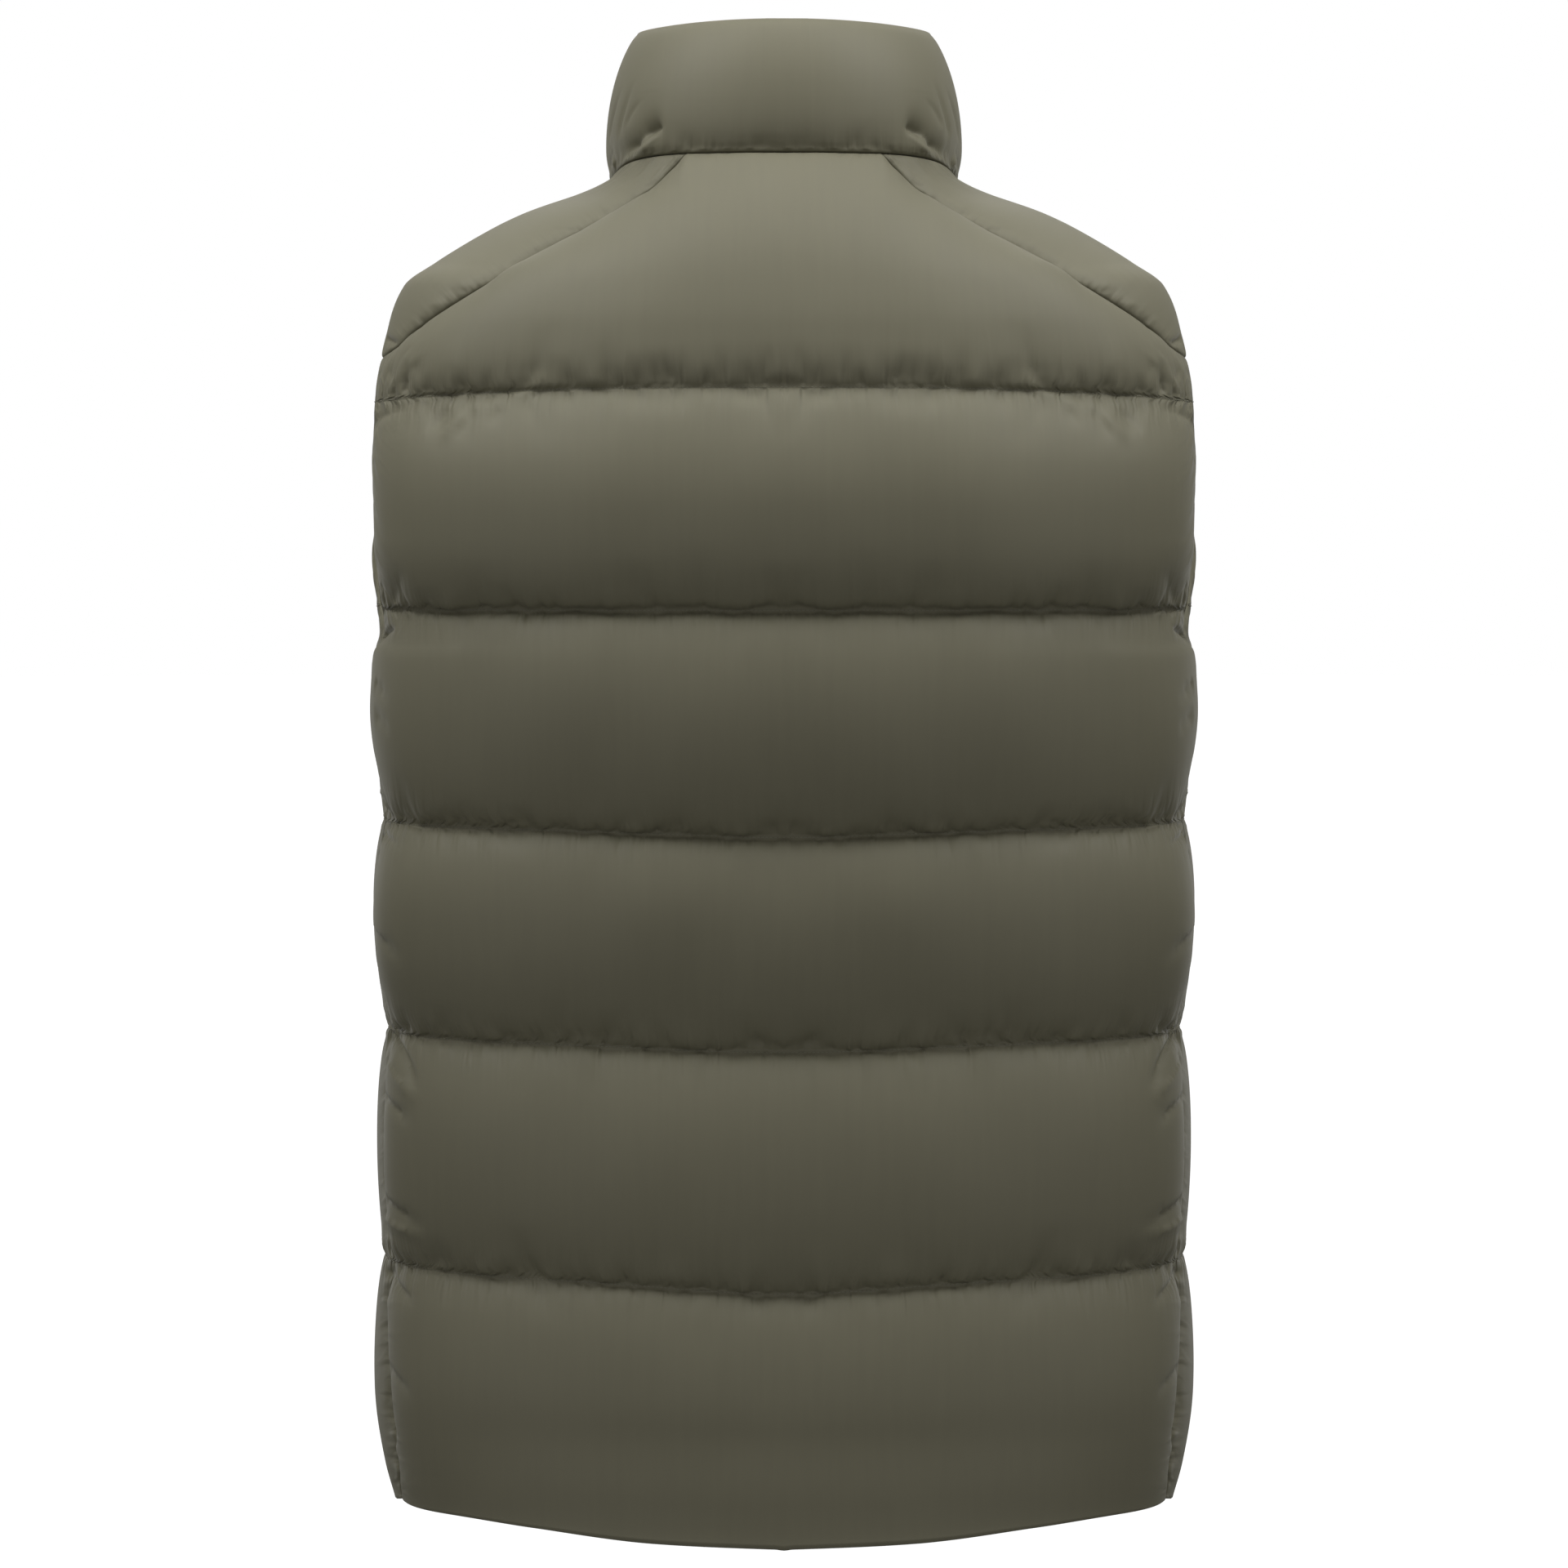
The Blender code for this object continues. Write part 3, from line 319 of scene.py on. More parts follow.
def swell(rise, crown, below, above):
    """Share of the loft across a channel, from 0 at one line of stitching to 0 at the next."""
    rise = np.clip(rise, 0, 1) ** (math.log(0.5) / math.log(crown))
    return (4 * rise * (1 - rise)) ** np.where(rise < 0.5, below, above)


def from_edge(distance, reach):
    """Rises from 0 at an edge to nearly 1, in a few times `reach`."""
    return 1 - np.exp(-distance / reach)


def lengths_along(grid):
    """Distance of each point of a grid from the first point of its row."""
    steps = np.linalg.norm(np.diff(grid, axis=1), axis=-1)
    return np.concatenate([np.zeros((len(grid), 1)), np.cumsum(steps, axis=1)], axis=1)


def bent(row):
    """A level row, raised at its ends near the hem and lowered at its ends near the chest line."""
    z = row[:, 2]
    across = np.clip(np.abs(row[:, 0]) / section(z)[0], 0, 1)
    near_hem = np.clip((FIRST_LINE - z) / (FIRST_LINE - HEM), 0, 1)
    near_chest = np.clip((z - QUILT_LINES[-2]) / (CHEST_LINE - QUILT_LINES[-2]), 0, 1)
    at_back = np.clip(row[:, 1] / SIDE_SEAM["depth"][0], 0, 1)
    lift = smooth(HEM_LIFT["across"], HEM_LIFT["lift"], across)
    lift = near_hem**2 * (FRONT_HEM_LIFT * across**2 * (1 - at_back) + lift * at_back)
    drop = CHEST_DROP_AT_SIDES * near_chest * across**3
    sag = smooth(MIDDLE_SAG["height"], MIDDLE_SAG["sag"], z) * np.exp(-((row[:, 0] / SAG_HALF_WIDTH) ** 2))
    drop = drop + sag * (row[:, 1] > 0)
    return settle(row + (lift - drop)[:, None] * np.array([0, 0, 1]))


def channel_puff(channel, rise):
    """The planned loft up a channel. The lowest one stays partly full at the hem."""
    loft, crown, below, above = [CHANNELS[key][channel] for key in ("loft", "crown", "below", "above")]
    open_end = HEM_SHARE * (1 - rise) ** 2 if channel == 0 else 0.0
    return loft * (swell(rise, crown, below, above) + open_end)


def grid_of_panel(level_row, top_line):
    """Rows of points from the hem to the top edge, with the loft planned at each point."""
    rows, puff = [], []
    for channel, (low, high) in enumerate(zip(QUILT_LINES, QUILT_LINES[1:])):
        for rise in rises()[:-1]:
            rows.append(bent(level_row(low + (high - low) * rise)))
            puff.append(channel_puff(channel, rise) * np.ones(len(rows[-1])))
    chest = bent(level_row(CHEST_LINE))
    room = from_edge(np.linalg.norm(top_line - chest, axis=1), CHEST_REACH)
    for rise in rises():
        between = chest + (top_line - chest) * rise
        rows.append(between if rise in (0.0, 1.0) else settle(between))
        puff.append(channel_puff(len(QUILT_LINES) - 1, rise) * room)
    return np.array(rows), np.array(puff)


def both_sides(half):
    return np.concatenate([mirrored(half[:0:-1]), half])


def back_grid():
    shares = np.linspace(0, 1, BACK_NECK_COLUMNS + YOKE_COLUMNS + 1)

    def level_row(z):
        edge = angle_of_depth(side_edge_depth(z, ARMHOLE_BACK), z)
        return both_sides(level_line(z, 0, edge, shares))

    neck = neck_points(0, YOKE_BACK_NECK_SHARE, BACK_NECK_COLUMNS)
    seam = yoke_seam(YOKE_BACK_NECK_SHARE, YOKE_BACK_BENDS, ARMHOLE_BACK, YOKE_COLUMNS)
    rows, puff = grid_of_panel(level_row, both_sides(np.concatenate([neck[:-1], seam])))
    along = lengths_along(rows)
    reach = smooth(BACK_EDGE["height"], BACK_EDGE["reach"], rows[..., 2])
    return rows, puff * from_edge(np.minimum(along, along[:, -1:] - along), reach)


def front_grid():
    """The front on the wearer's left, from the zip to the side seam."""
    shares = np.linspace(0, 1, FRONT_NECK_COLUMNS + YOKE_COLUMNS + 1)

    def level_row(z):
        edge = angle_of_depth(side_edge_depth(z, ARMHOLE_FRONT), z)
        return level_line(z, angle_of_front_edge(z), edge, shares)

    neck = neck_points(neck_share_of_front_edge(), YOKE_FRONT_NECK_SHARE, FRONT_NECK_COLUMNS)
    neck[0, 0] = ZIP_GAP
    seam = yoke_seam(YOKE_FRONT_NECK_SHARE, YOKE_FRONT_BENDS, ARMHOLE_FRONT, YOKE_COLUMNS)
    rows, puff = grid_of_panel(level_row, np.concatenate([neck[:-1], seam]))
    along = lengths_along(rows)
    to_side = along[:, -1:] - along
    slow = FRONT_SIDE_SHARE + (1 - FRONT_SIDE_SHARE) * from_edge(to_side, FRONT_SLOW_REACH)
    return rows, puff * from_edge(along, FRONT_ZIP_REACH) * from_edge(to_side, FRONT_SIDE_REACH) * slow


def yoke_grid():
    """The yoke on the wearer's left, filled in between its four edges. Rows run forwards."""
    low = yoke_seam(YOKE_BACK_NECK_SHARE, YOKE_BACK_BENDS, ARMHOLE_BACK, YOKE_COLUMNS)
    high = yoke_seam(YOKE_FRONT_NECK_SHARE, YOKE_FRONT_BENDS, ARMHOLE_FRONT, YOKE_COLUMNS)
    left = neck_points(YOKE_BACK_NECK_SHARE, YOKE_FRONT_NECK_SHARE, YOKE_ROWS)
    right = armhole_over_shoulder(YOKE_ROWS)
    v = np.linspace(0, 1, YOKE_ROWS + 1)[:, None, None]
    u = np.linspace(0, 1, YOKE_COLUMNS + 1)[None, :, None]
    ruled = (1 - v) * low[None] + v * high[None] + (1 - u) * left[:, None] + u * right[:, None]
    corners = (1 - v) * ((1 - u) * low[0] + u * low[-1]) + v * ((1 - u) * high[0] + u * high[-1])
    grid = ruled - corners
    grid[1:-1, 1:-1] = settle(grid)[1:-1, 1:-1]
    forward = swell(v[:, 0, 0], 0.5, *YOKE_SWELL_FORWARD)[:, None]
    return grid, YOKE_LOFT * forward * swell(u[0, :, 0], 0.5, *YOKE_SWELL_OUTWARD)[None]


back, back_puff = back_grid()
front, front_puff = front_grid()
yoke, yoke_puff = yoke_grid()
print("points in the back, a front and a yoke:", back[..., 0].size, front[..., 0].size, yoke[..., 0].size)

# %% [markdown]
# ## The collar's two faces
#
# The collar is a padded tube, open at the zip. Its foot meets the body's cloth along the neck
# seam, edge to edge, and its top is a level ring at the back and sides that dips at the front.
# Straight lines from foot to top give the sewn form, and the filling swells it later.

# %% Collar
COLLAR_TOP = {"way_forward": (0, 0.25, 0.52, 1), "height": (0.0766, 0.0751, 0.0747, 0.038)}
COLLAR_TOP_HALF_WIDTH, COLLAR_TOP_BACK_DEPTH, COLLAR_TOP_FRONT_DEPTH = 0.0755, 0.0780, 0.0800
COLLAR_MIDDLE = -0.004
COLLAR_LOFT = 0.0079
COLLAR_SWELL, COLLAR_ZIP_REACH = (0.50, 0.65, 0.80), 0.012


def neck_ring():
    """The whole neck seam: its points and the way out of the body's cloth towards the collar."""
    half = np.concatenate(
        [
            neck_points(0, YOKE_BACK_NECK_SHARE, BACK_NECK_COLUMNS)[:-1],
            neck_points(YOKE_BACK_NECK_SHARE, YOKE_FRONT_NECK_SHARE, YOKE_ROWS)[:-1],
            neck_points(YOKE_FRONT_NECK_SHARE, neck_share_of_front_edge(), FRONT_NECK_COLUMNS),
        ]
    )
    half[-1, 0] = ZIP_GAP
    ring = np.concatenate([half[::-1], mirrored(half)[1:]])
    out = unit(gradient(ring))
    return ring, out, unit(np.cross(out, np.gradient(ring, axis=0)))


def collar_top_line(ring):
    """The collar's outer top edge, with a point above each point of the neck seam."""
    angle = np.arctan2(
        ring[:, 0] / COLLAR_TOP_HALF_WIDTH, (ring[:, 1] - COLLAR_MIDDLE) / COLLAR_TOP_BACK_DEPTH
    )
    edge = math.pi - math.asin(ZIP_GAP / COLLAR_TOP_HALF_WIDTH)
    angle[0], angle[-1] = edge, -edge
    depth = np.where(np.cos(angle) >= 0, COLLAR_TOP_BACK_DEPTH, COLLAR_TOP_FRONT_DEPTH)
    y = depth * np.cos(angle)
    forward = (COLLAR_TOP_BACK_DEPTH - y) / (COLLAR_TOP_BACK_DEPTH + COLLAR_TOP_FRONT_DEPTH)
    z = smooth(COLLAR_TOP["way_forward"], COLLAR_TOP["height"], forward)
    return np.stack([COLLAR_TOP_HALF_WIDTH * np.sin(angle), y, z], axis=-1)


def collar_grid():
    """Inner face, sewn outer face, the way out of it, and the planned loft."""
    ring, out_of_body, away = neck_ring()
    inner_foot = ring + away * SEAM_GAP / 2
    foot, top = inner_foot + out_of_body * SEAM_WALL, collar_top_line(ring)
    rise = np.linspace(0, 1, COLLAR_ROWS + 1)[:, None, None]
    face = foot * (1 - rise) + top * rise
    out = unit(np.cross(np.gradient(face, axis=1), np.gradient(face, axis=0)))
    out *= np.sign(np.sum(out * face * np.array([1.0, 1.0, 0.0]), axis=-1, keepdims=True))
    out[:, 0], out[:, -1] = out[:, 1], out[:, -2]
    inner = inner_foot * (1 - rise) + (top - out[-1] * COLLAR_WALL) * rise
    along = lengths_along(face)
    to_zip = np.minimum(along, along[:, -1:] - along)
    puff = COLLAR_LOFT * swell(rise[:, 0], *COLLAR_SWELL) * from_edge(to_zip, COLLAR_ZIP_REACH)
    for wall in (inner, face):
        wall[:, 0, 0], wall[:, -1, 0] = ZIP_GAP, -ZIP_GAP
    return inner, face, out, puff


collar_inner, collar_face, collar_out, collar_puff = collar_grid()
print("the collar is", round(float(lengths_along(collar_face)[0, -1]), 3), "m long at its foot")

# %% [markdown]
# ## Blowing up the cloth
#
# Quilting looks the way it does because of how it is cut. The cloth is cut longer than the form,
# sewn down along the lines, and filled, so the spare length stands up as a channel. Blender's
# Cloth does the same: the cut is the mesh's own shape, which is longer than the form between two lines,
# and the simulation takes its lengths from it; the sewn rows are pinned; and pressure stands for the
# filling. Slow waves in the cut, from a fixed seed, keep one channel from being as even as a pipe.

# %% A cloth skin that is pinned along its sewing
FRAMES = 18
PRESSURE = 2.0
WAVES, WAVE_LENGTHS, WAVE_TILT = 10, (0.060, 0.170), 0.8
SLOW_WAVE, YOKE_WAVE = 0.0005, 0.0002
SMOOTHING_ROUNDS = 24
BACK_SEED, FRONT_SEED, YOKE_SEED = 4, 9, 15


def slow_waves(across, up, seed):
    """Slow, shallow waves over a piece, alike on the wearer's left and right."""
    rng = np.random.default_rng(seed)
    total = np.zeros_like(across)
    for _ in range(WAVES):
        length, tilt = rng.uniform(*WAVE_LENGTHS), rng.uniform(-WAVE_TILT, WAVE_TILT)
        phase = rng.uniform(0, 2 * math.pi)
        total += np.cos(2 * math.pi * (np.abs(across) + tilt * up) / length + phase)
    return total / math.sqrt(WAVES / 2)


def grid_quads(rows, columns):
    index = np.arange(rows * columns).reshape(rows, columns)
    corners = (index[:-1, :-1], index[1:, :-1], index[1:, 1:], index[:-1, 1:])
    return index, np.stack(corners, -1).reshape(-1, 4)


def inflate(name, cut_shape, sewn, facing=1):
    """Lets a skin swell between its sewn points, and returns where its points come to rest."""
    index, quads = grid_quads(*cut_shape.shape[:2])
    mesh = bpy.data.meshes.new(name)
    mesh.from_pydata(cut_shape.reshape(-1, 3).tolist(), [], quads[:, ::facing].tolist())
    skin = bpy.data.objects.new(name, mesh)
    bpy.context.scene.collection.objects.link(skin)
    held = skin.vertex_groups.new(name="sewn")
    held.add(index[sewn].tolist(), 1.0, "REPLACE")
    cloth = skin.modifiers.new("Cloth", "CLOTH")
    settings = cloth.settings
    settings.quality = 6
    settings.mass = 0.003
    settings.tension_stiffness, settings.compression_stiffness = 20, 5
    settings.shear_stiffness = 8
    settings.bending_stiffness = 0.3
    settings.use_pressure = True
    settings.uniform_pressure_force = PRESSURE
    settings.vertex_group_mass = "sewn"
    settings.effector_weights.gravity = 0.0
    cloth.collision_settings.use_collision = False
    cloth.point_cache.frame_start, cloth.point_cache.frame_end = 1, FRAMES
    for number in range(1, FRAMES + 1):
        bpy.context.scene.frame_set(number)
    settled = skin.evaluated_get(bpy.context.evaluated_depsgraph_get()).data
    places = np.empty(cut_shape.size, np.float32)
    settled.vertices.foreach_get("co", places)
    bpy.data.objects.remove(skin)
    bpy.data.meshes.remove(mesh)
    bpy.context.scene.frame_set(1)
    swelling = places.reshape(cut_shape.shape).astype(float) - cut_shape
    for _ in range(SMOOTHING_ROUNDS):
        beside = swelling[:-2, 1:-1] + swelling[2:, 1:-1] + swelling[1:-1, :-2] + swelling[1:-1, 2:]
        swelling[1:-1, 1:-1] = swelling[1:-1, 1:-1] / 2 + beside / 8
        swelling[sewn] = 0.0
    places = cut_shape + swelling
    moved = np.linalg.norm(swelling, axis=-1)
    print(name, "settled by up to", round(1000 * float(moved.max()), 1), "mm from its cut")
    return places


ROW_OF_LINE = [ROWS_PER_CHANNEL * k for k in range(1, len(QUILT_LINES))]


def sewn_points(grid, lines):
    """True at the points that are sewn: all four edges, and the lines of quilting."""
    sewn = np.zeros(grid.shape[:2], bool)
    sewn[0] = sewn[-1] = sewn[:, 0] = sewn[:, -1] = True
    sewn[list(lines)] = True
    return sewn


def cut_map(face):
    """Metres along each row from its middle, and metres up each column from the hem."""
    along = lengths_along(face)
    across = along - along[:, along.shape[1] // 2][:, None]
    up = lengths_along(face.transpose(1, 0, 2)).T
    return np.stack([across, up], axis=-1)


def skin_of(name, grid, puff, lines, seed, facing=1, wave=SLOW_WAVE):
    """The way out of a piece on the form, and its swollen outer skin."""
    out = unit(gradient(grid))
    face = grid + out * SEAM_WALL
    across, up = np.moveaxis(cut_map(face), -1, 0)
    fuller = puff + wave * slow_waves(across, up, seed) * puff / puff.max()
    return out, inflate(name, face + out * fuller[..., None], sewn_points(face, lines), facing)


def symmetric(points):
    """The wearer's left half of a piece, with its mirror image as the right half."""
    half = points[:, points.shape[1] // 2 :].copy()
    half[:, 0, 0] = 0.0
    return np.concatenate([mirrored(half[:, :0:-1]), half], axis=1)


back_out, back_skin = skin_of("back", back, back_puff, ROW_OF_LINE, BACK_SEED)
back_skin = symmetric(back_skin)
front_out, front_skin = skin_of("front", front, front_puff, ROW_OF_LINE, FRONT_SEED, -1)
yoke_out, yoke_skin = skin_of("yoke", yoke, yoke_puff, (), YOKE_SEED, wave=YOKE_WAVE)
collar_cut = collar_face + collar_out * collar_puff[..., None]
collar_skin = inflate("collar", collar_cut, sewn_points(collar_face, ()), -1)

# %% [markdown]
# ## A finer grid
#
# The simulation needs few points, but puckers a few millimetres wide need many. `finer` lays
# more points on a smooth curve through the settled ones, and keeps the sewn rows sharp, because
# the cloth really does turn a corner there.

# %% Finer grids
def finer(points, axis, places, breaks=()):
    """Points at fractional places along an axis, on cubic curves that may break at some points."""
    p = np.moveaxis(points, axis, 0)
    leaving, arriving = np.zeros_like(p), np.zeros_like(p)
    stops = sorted({0, len(p) - 1, *breaks})
    for low, high in zip(stops, stops[1:]):
        run = p[low : high + 1]
        slope = np.gradient(run, axis=0)
        slope[0], slope[-1] = 2 * (run[1] - run[0]) - slope[1], 2 * (run[-1] - run[-2]) - slope[-2]
        leaving[low:high], arriving[low + 1 : high + 1] = slope[:-1], slope[1:]
    i = np.minimum(places.astype(int), len(p) - 2)
    t = (places - i)[:, None, None]
    curve = p[i] + (p[i + 1] - p[i]) * t * t * (3 - 2 * t)
    curve = curve + leaving[i] * t * (1 - t) ** 2 - arriving[i + 1] * t * t * (1 - t)
    return np.moveaxis(curve, 0, axis)


def evenly(count, times):
    """`times` as many places between `count` points."""
    return np.linspace(0, count - 1, (count - 1) * times + 1)


def crowded(count, first, last, between):
    """Places with close-set strips at both ends: a strip is its width and its number of steps."""
    ends = [np.linspace(0, first[0], first[1] + 1), count - 1 - np.linspace(last[0], 0, last[1] + 1)]
    middle = np.linspace(first[0], count - 1 - last[0], between + 1)
    return np.concatenate([ends[0][:-1], middle[:-1], ends[1]])


def fine(points, lines, up_places, across_places):
    return finer(finer(points, 0, up_places, lines), 1, across_places)


# %% [markdown]
# ## Puckers
#
# At a line of sewing the spare cloth has nowhere to go, and gathers into short puckers on both
# sides of the thread. They are not even: each has its own length, slant and depth. `puckers`
# strews them along any seam from a fixed seed. Each is a small valley that is deepest near the
# thread, and widens and fades as it runs out into the channel.

# %% Puckers along a seam
VALLEYS_AMONG_PUCKERS = 0.72
RIDGE_DEPTH = -0.6
PUCKER_WIDENING, PUCKER_SLANT = 1.3, 0.5
PUCKER_RISE, PUCKER_FALL, PUCKER_STRENGTH = 0.30, 1.4, 1.5


def fold(aside, width, steepness=1.0):
    """Section of a fold, 1 in its crease. Below 1, `steepness` makes one flank the steeper."""
    wide = np.where(aside > 0, width, width * steepness)
    return np.exp(-np.sqrt((aside / wide) ** 2 + 0.04) + 0.2)


def puckers(along, away, seed, spacing, length, depth, width):
    """How far the cloth sinks at each point, from its place along a seam and away from it."""
    rng = np.random.default_rng(seed)
    near = (away > 0) & (away < length[1])
    a, h, sunk = along[near], away[near], np.zeros(near.sum())
    place = along.min() + rng.uniform(0, spacing[0])
    while place < along.max():
        reach = length[0] + (length[1] - length[0]) * rng.random() ** 1.6
        t = np.clip(h / reach, 0, 1)
        wide = rng.uniform(*width) * (1 + PUCKER_WIDENING * t)
        sink = rng.uniform(*depth) * (1.0 if rng.random() < VALLEYS_AMONG_PUCKERS else RIDGE_DEPTH)
        lean = rng.uniform(-PUCKER_SLANT, PUCKER_SLANT)
        fade = np.clip(t / PUCKER_RISE, 0, 1) * (1 - t) ** PUCKER_FALL * PUCKER_STRENGTH
        sunk += sink * fade * fold(a - place - lean * h, wide, rng.uniform(0.5, 1.0))
        place += rng.uniform(*spacing)
    field = np.zeros_like(along)
    field[near] = sunk
    return field


# %% Sinking the cloth
TIMES_UP = 4
BODY_LINES = [TIMES_UP * row for row in ROW_OF_LINE]
BACK_STRIP, FRONT_STRIP, ZIP_STRIP = (9, 30), (11, 30), (6, 16)
BACK_MIDDLE_STEPS, FRONT_MIDDLE_STEPS = 236, 96
YOKE_STRIP = (2, 12)
QUILTING_PUCKERS = (
    # side of the line, spacing, length, depth, width
    (1, (0.006, 0.015), (0.008, 0.022), (0.0008, 0.0025), (0.0014, 0.0034)),
    (1, (0.020, 0.046), (0.018, 0.040), (0.0011, 0.0029), (0.003, 0.007)),
    (-1, (0.007, 0.018), (0.008, 0.020), (0.0004, 0.0014), (0.0014, 0.0034)),
    (-1, (0.022, 0.050), (0.018, 0.040), (0.0006, 0.0018), (0.003, 0.006)),
)


NORMALS_FACE = (1.0, 1.0, 0.3)


def surface_normals(points):
    """Unit normals of a grid, on its outer side."""
    out = unit(np.cross(np.gradient(points, axis=1), np.gradient(points, axis=0)))
    return out * np.sign(np.sum(out * points * np.array(NORMALS_FACE)))


def from_each_edge(grid):
    """Distances along the cloth from the bottom, the top, the first and the last edge."""
    along, up = lengths_along(grid), lengths_along(grid.transpose(1, 0, 2)).T
    return {"bottom": up, "top": up[-1] - up, "first": along, "last": along[:, -1:] - along}


def quilting_puckers(face, lines, seed):
    """Puckers above and below each line of quilting."""
    along = lengths_along(face)
    across = np.abs(along - along[:, along.shape[1] // 2][:, None])
    up = from_each_edge(face)["bottom"]
    field = np.zeros_like(across)
    for row in lines:
        for side, *sizes in QUILTING_PUCKERS:
            field += puckers(across, side * (up - up[row]), seed, *sizes)
            seed += 1
    return field


# %% [markdown]
# ## Creases in given places
#
# Some folds are not strewn but belong to a place: under the arm, at the collar's corners, where
# a channel's end meets the side seam. `creases` presses them in one by one. A path is given as
# its distance from the middle and its height, as seen from behind, and laid on the skin. A
# positive depth makes a valley, and a negative one a ridge.

# %% Creases
STEEP_FLANK = 0.45
SPINE_STEPS = 8
WIDTHS_ASIDE = 4


def creases(points, table, behind=-0.03):
    """How far the cloth sinks along given paths. A row: path, width, depth, both fades.

    The flank on the right of a path, as it is walked, is the steeper one.
    """
    flat = points.reshape(-1, 3)
    field = np.zeros(len(flat))
    folded = np.abs(flat[:, :1]) * np.array([1, 0, 0]) + flat * np.array([0, 1, 1])
    usable = flat[:, 1] > behind
    for path, width, depth, fade_in, fade_out, *flank in table:
        knots = []
        for x, z in path:
            far = (folded[:, 0] - x) ** 2 + (flat[:, 2] - z) ** 2 + ~usable + (flat[:, 0] < 0)
            knots.append(flat[np.argmin(far)])
        spine = finer(np.array(knots)[:, None], 0, evenly(len(knots), SPINE_STEPS))[:, 0]
        reach = WIDTHS_ASIDE * width
        low, high = spine.min(axis=0) - reach, spine.max(axis=0) + reach
        near = np.where(np.all((folded > low) & (folded < high), axis=1))[0]
        start, way = spine[:-1], np.diff(spine, axis=0)
        size = np.maximum(np.sum(way * way, axis=1), 1e-12)
        to = folded[near][:, None] - start[None]
        t = np.clip(np.sum(to * way[None], axis=2) / size, 0, 1)
        gap = np.linalg.norm(to - t[..., None] * way[None], axis=2)
        best = np.argmin(gap, axis=1)
        done = (best + t[np.arange(len(near)), best]) / len(way)
        ends = np.clip(done / fade_in, 0, 1) * np.clip((1 - done) / fade_out, 0, 1)
        picked = np.arange(len(near)), best
        turn = to[picked][:, [0, 2]] * way[best][:, [2, 0]] * np.array([1, -1])
        aside = -gap[picked] * np.sign(turn.sum(axis=1))
        depth = depth * ends * ends * (3 - 2 * ends)
        field[near] += depth * fold(aside, width, *(flank or [STEEP_FLANK]))
    return field.reshape(points.shape[:2])


BACK_CREASES = (
    # the side of the second channel, bent under the arm
    (((0.1985, -0.217), (0.195, -0.208), (0.1905, -0.2), (0.185, -0.195)), 0.0085, 0.0034, 0.2, 0.9, 1.0),
    # the corner of the third channel, tucked under the end of the second line
    (((0.204, -0.23), (0.2, -0.2275), (0.1945, -0.2255)), 0.0022, 0.0032, 0.1, 0.4),
    (((0.193, -0.218), (0.189, -0.217), (0.184, -0.219)), 0.0025, -0.0014, 0.4, 0.4),
    (((0.206, -0.253), (0.202, -0.256), (0.1965, -0.262)), 0.0022, 0.0016, 0.1, 0.5),
    (((0.206, -0.269), (0.2015, -0.272), (0.1975, -0.277)), 0.0025, 0.0015, 0.1, 0.5),
    # the first channel's end, drawn down at the armhole
    (((0.213, -0.123), (0.2, -0.1185), (0.185, -0.1145)), 0.0042, 0.0024, 0.1, 0.6, 1.0),
    (((0.179, -0.128), (0.172, -0.121), (0.165, -0.115)), 0.0038, 0.0015, 0.4, 0.3),
    (((0.173, -0.1345), (0.164, -0.126), (0.156, -0.1165)), 0.0034, -0.0013, 0.4, 0.3),
    (((0.164, -0.133), (0.157, -0.124), (0.152, -0.116)), 0.0034, 0.0012, 0.4, 0.3),
    (((0.147, -0.127), (0.142, -0.12), (0.14, -0.115)), 0.0034, 0.0011, 0.4, 0.3),
    # folds that fan down from the bend in the yoke's seam
    (((0.189, -0.088), (0.186, -0.094), (0.179, -0.102)), 0.005, -0.001, 0.3, 0.7, 1.0),
    (((0.185, -0.0925), (0.182, -0.098), (0.178, -0.1035)), 0.004, 0.0014, 0.3, 0.6, 1.0),
    (((0.2, -0.095), (0.1975, -0.099), (0.196, -0.103)), 0.005, 0.0012, 0.4, 0.4, 1.0),
    # the side gathers of the lower channels
    (((0.206, -0.329), (0.199, -0.332), (0.189, -0.335)), 0.0024, 0.0022, 0.1, 0.6),
    (((0.206, -0.378), (0.199, -0.385), (0.188, -0.393)), 0.0036, 0.0024, 0.1, 0.6),
    (((0.203, -0.431), (0.194, -0.438), (0.187, -0.45), (0.185, -0.459)), 0.003, 0.004, 0.1, 0.6),
    (((0.2, -0.446), (0.19, -0.456), (0.18, -0.462)), 0.003, -0.0024, 0.2, 0.6),
    (((0.203, -0.462), (0.194, -0.469), (0.184, -0.472)), 0.0027, 0.0026, 0.1, 0.6),
    (((0.203, -0.514), (0.191, -0.52), (0.176, -0.525)), 0.003, 0.0027, 0.1, 0.6),
    (((0.203, -0.525), (0.19, -0.529), (0.178, -0.53)), 0.0028, -0.002, 0.1, 0.6),
    (((0.203, -0.552), (0.193, -0.56), (0.182, -0.565)), 0.0032, 0.003, 0.1, 0.6),
    (((0.203, -0.599), (0.193, -0.605), (0.184, -0.612)), 0.0034, 0.002, 0.1, 0.6),
    # one small tuck that the machine caught in the third line
    (((0.137, -0.3225), (0.1345, -0.3215), (0.1325, -0.326)), 0.0016, 0.0018, 0.2, 0.3),
)
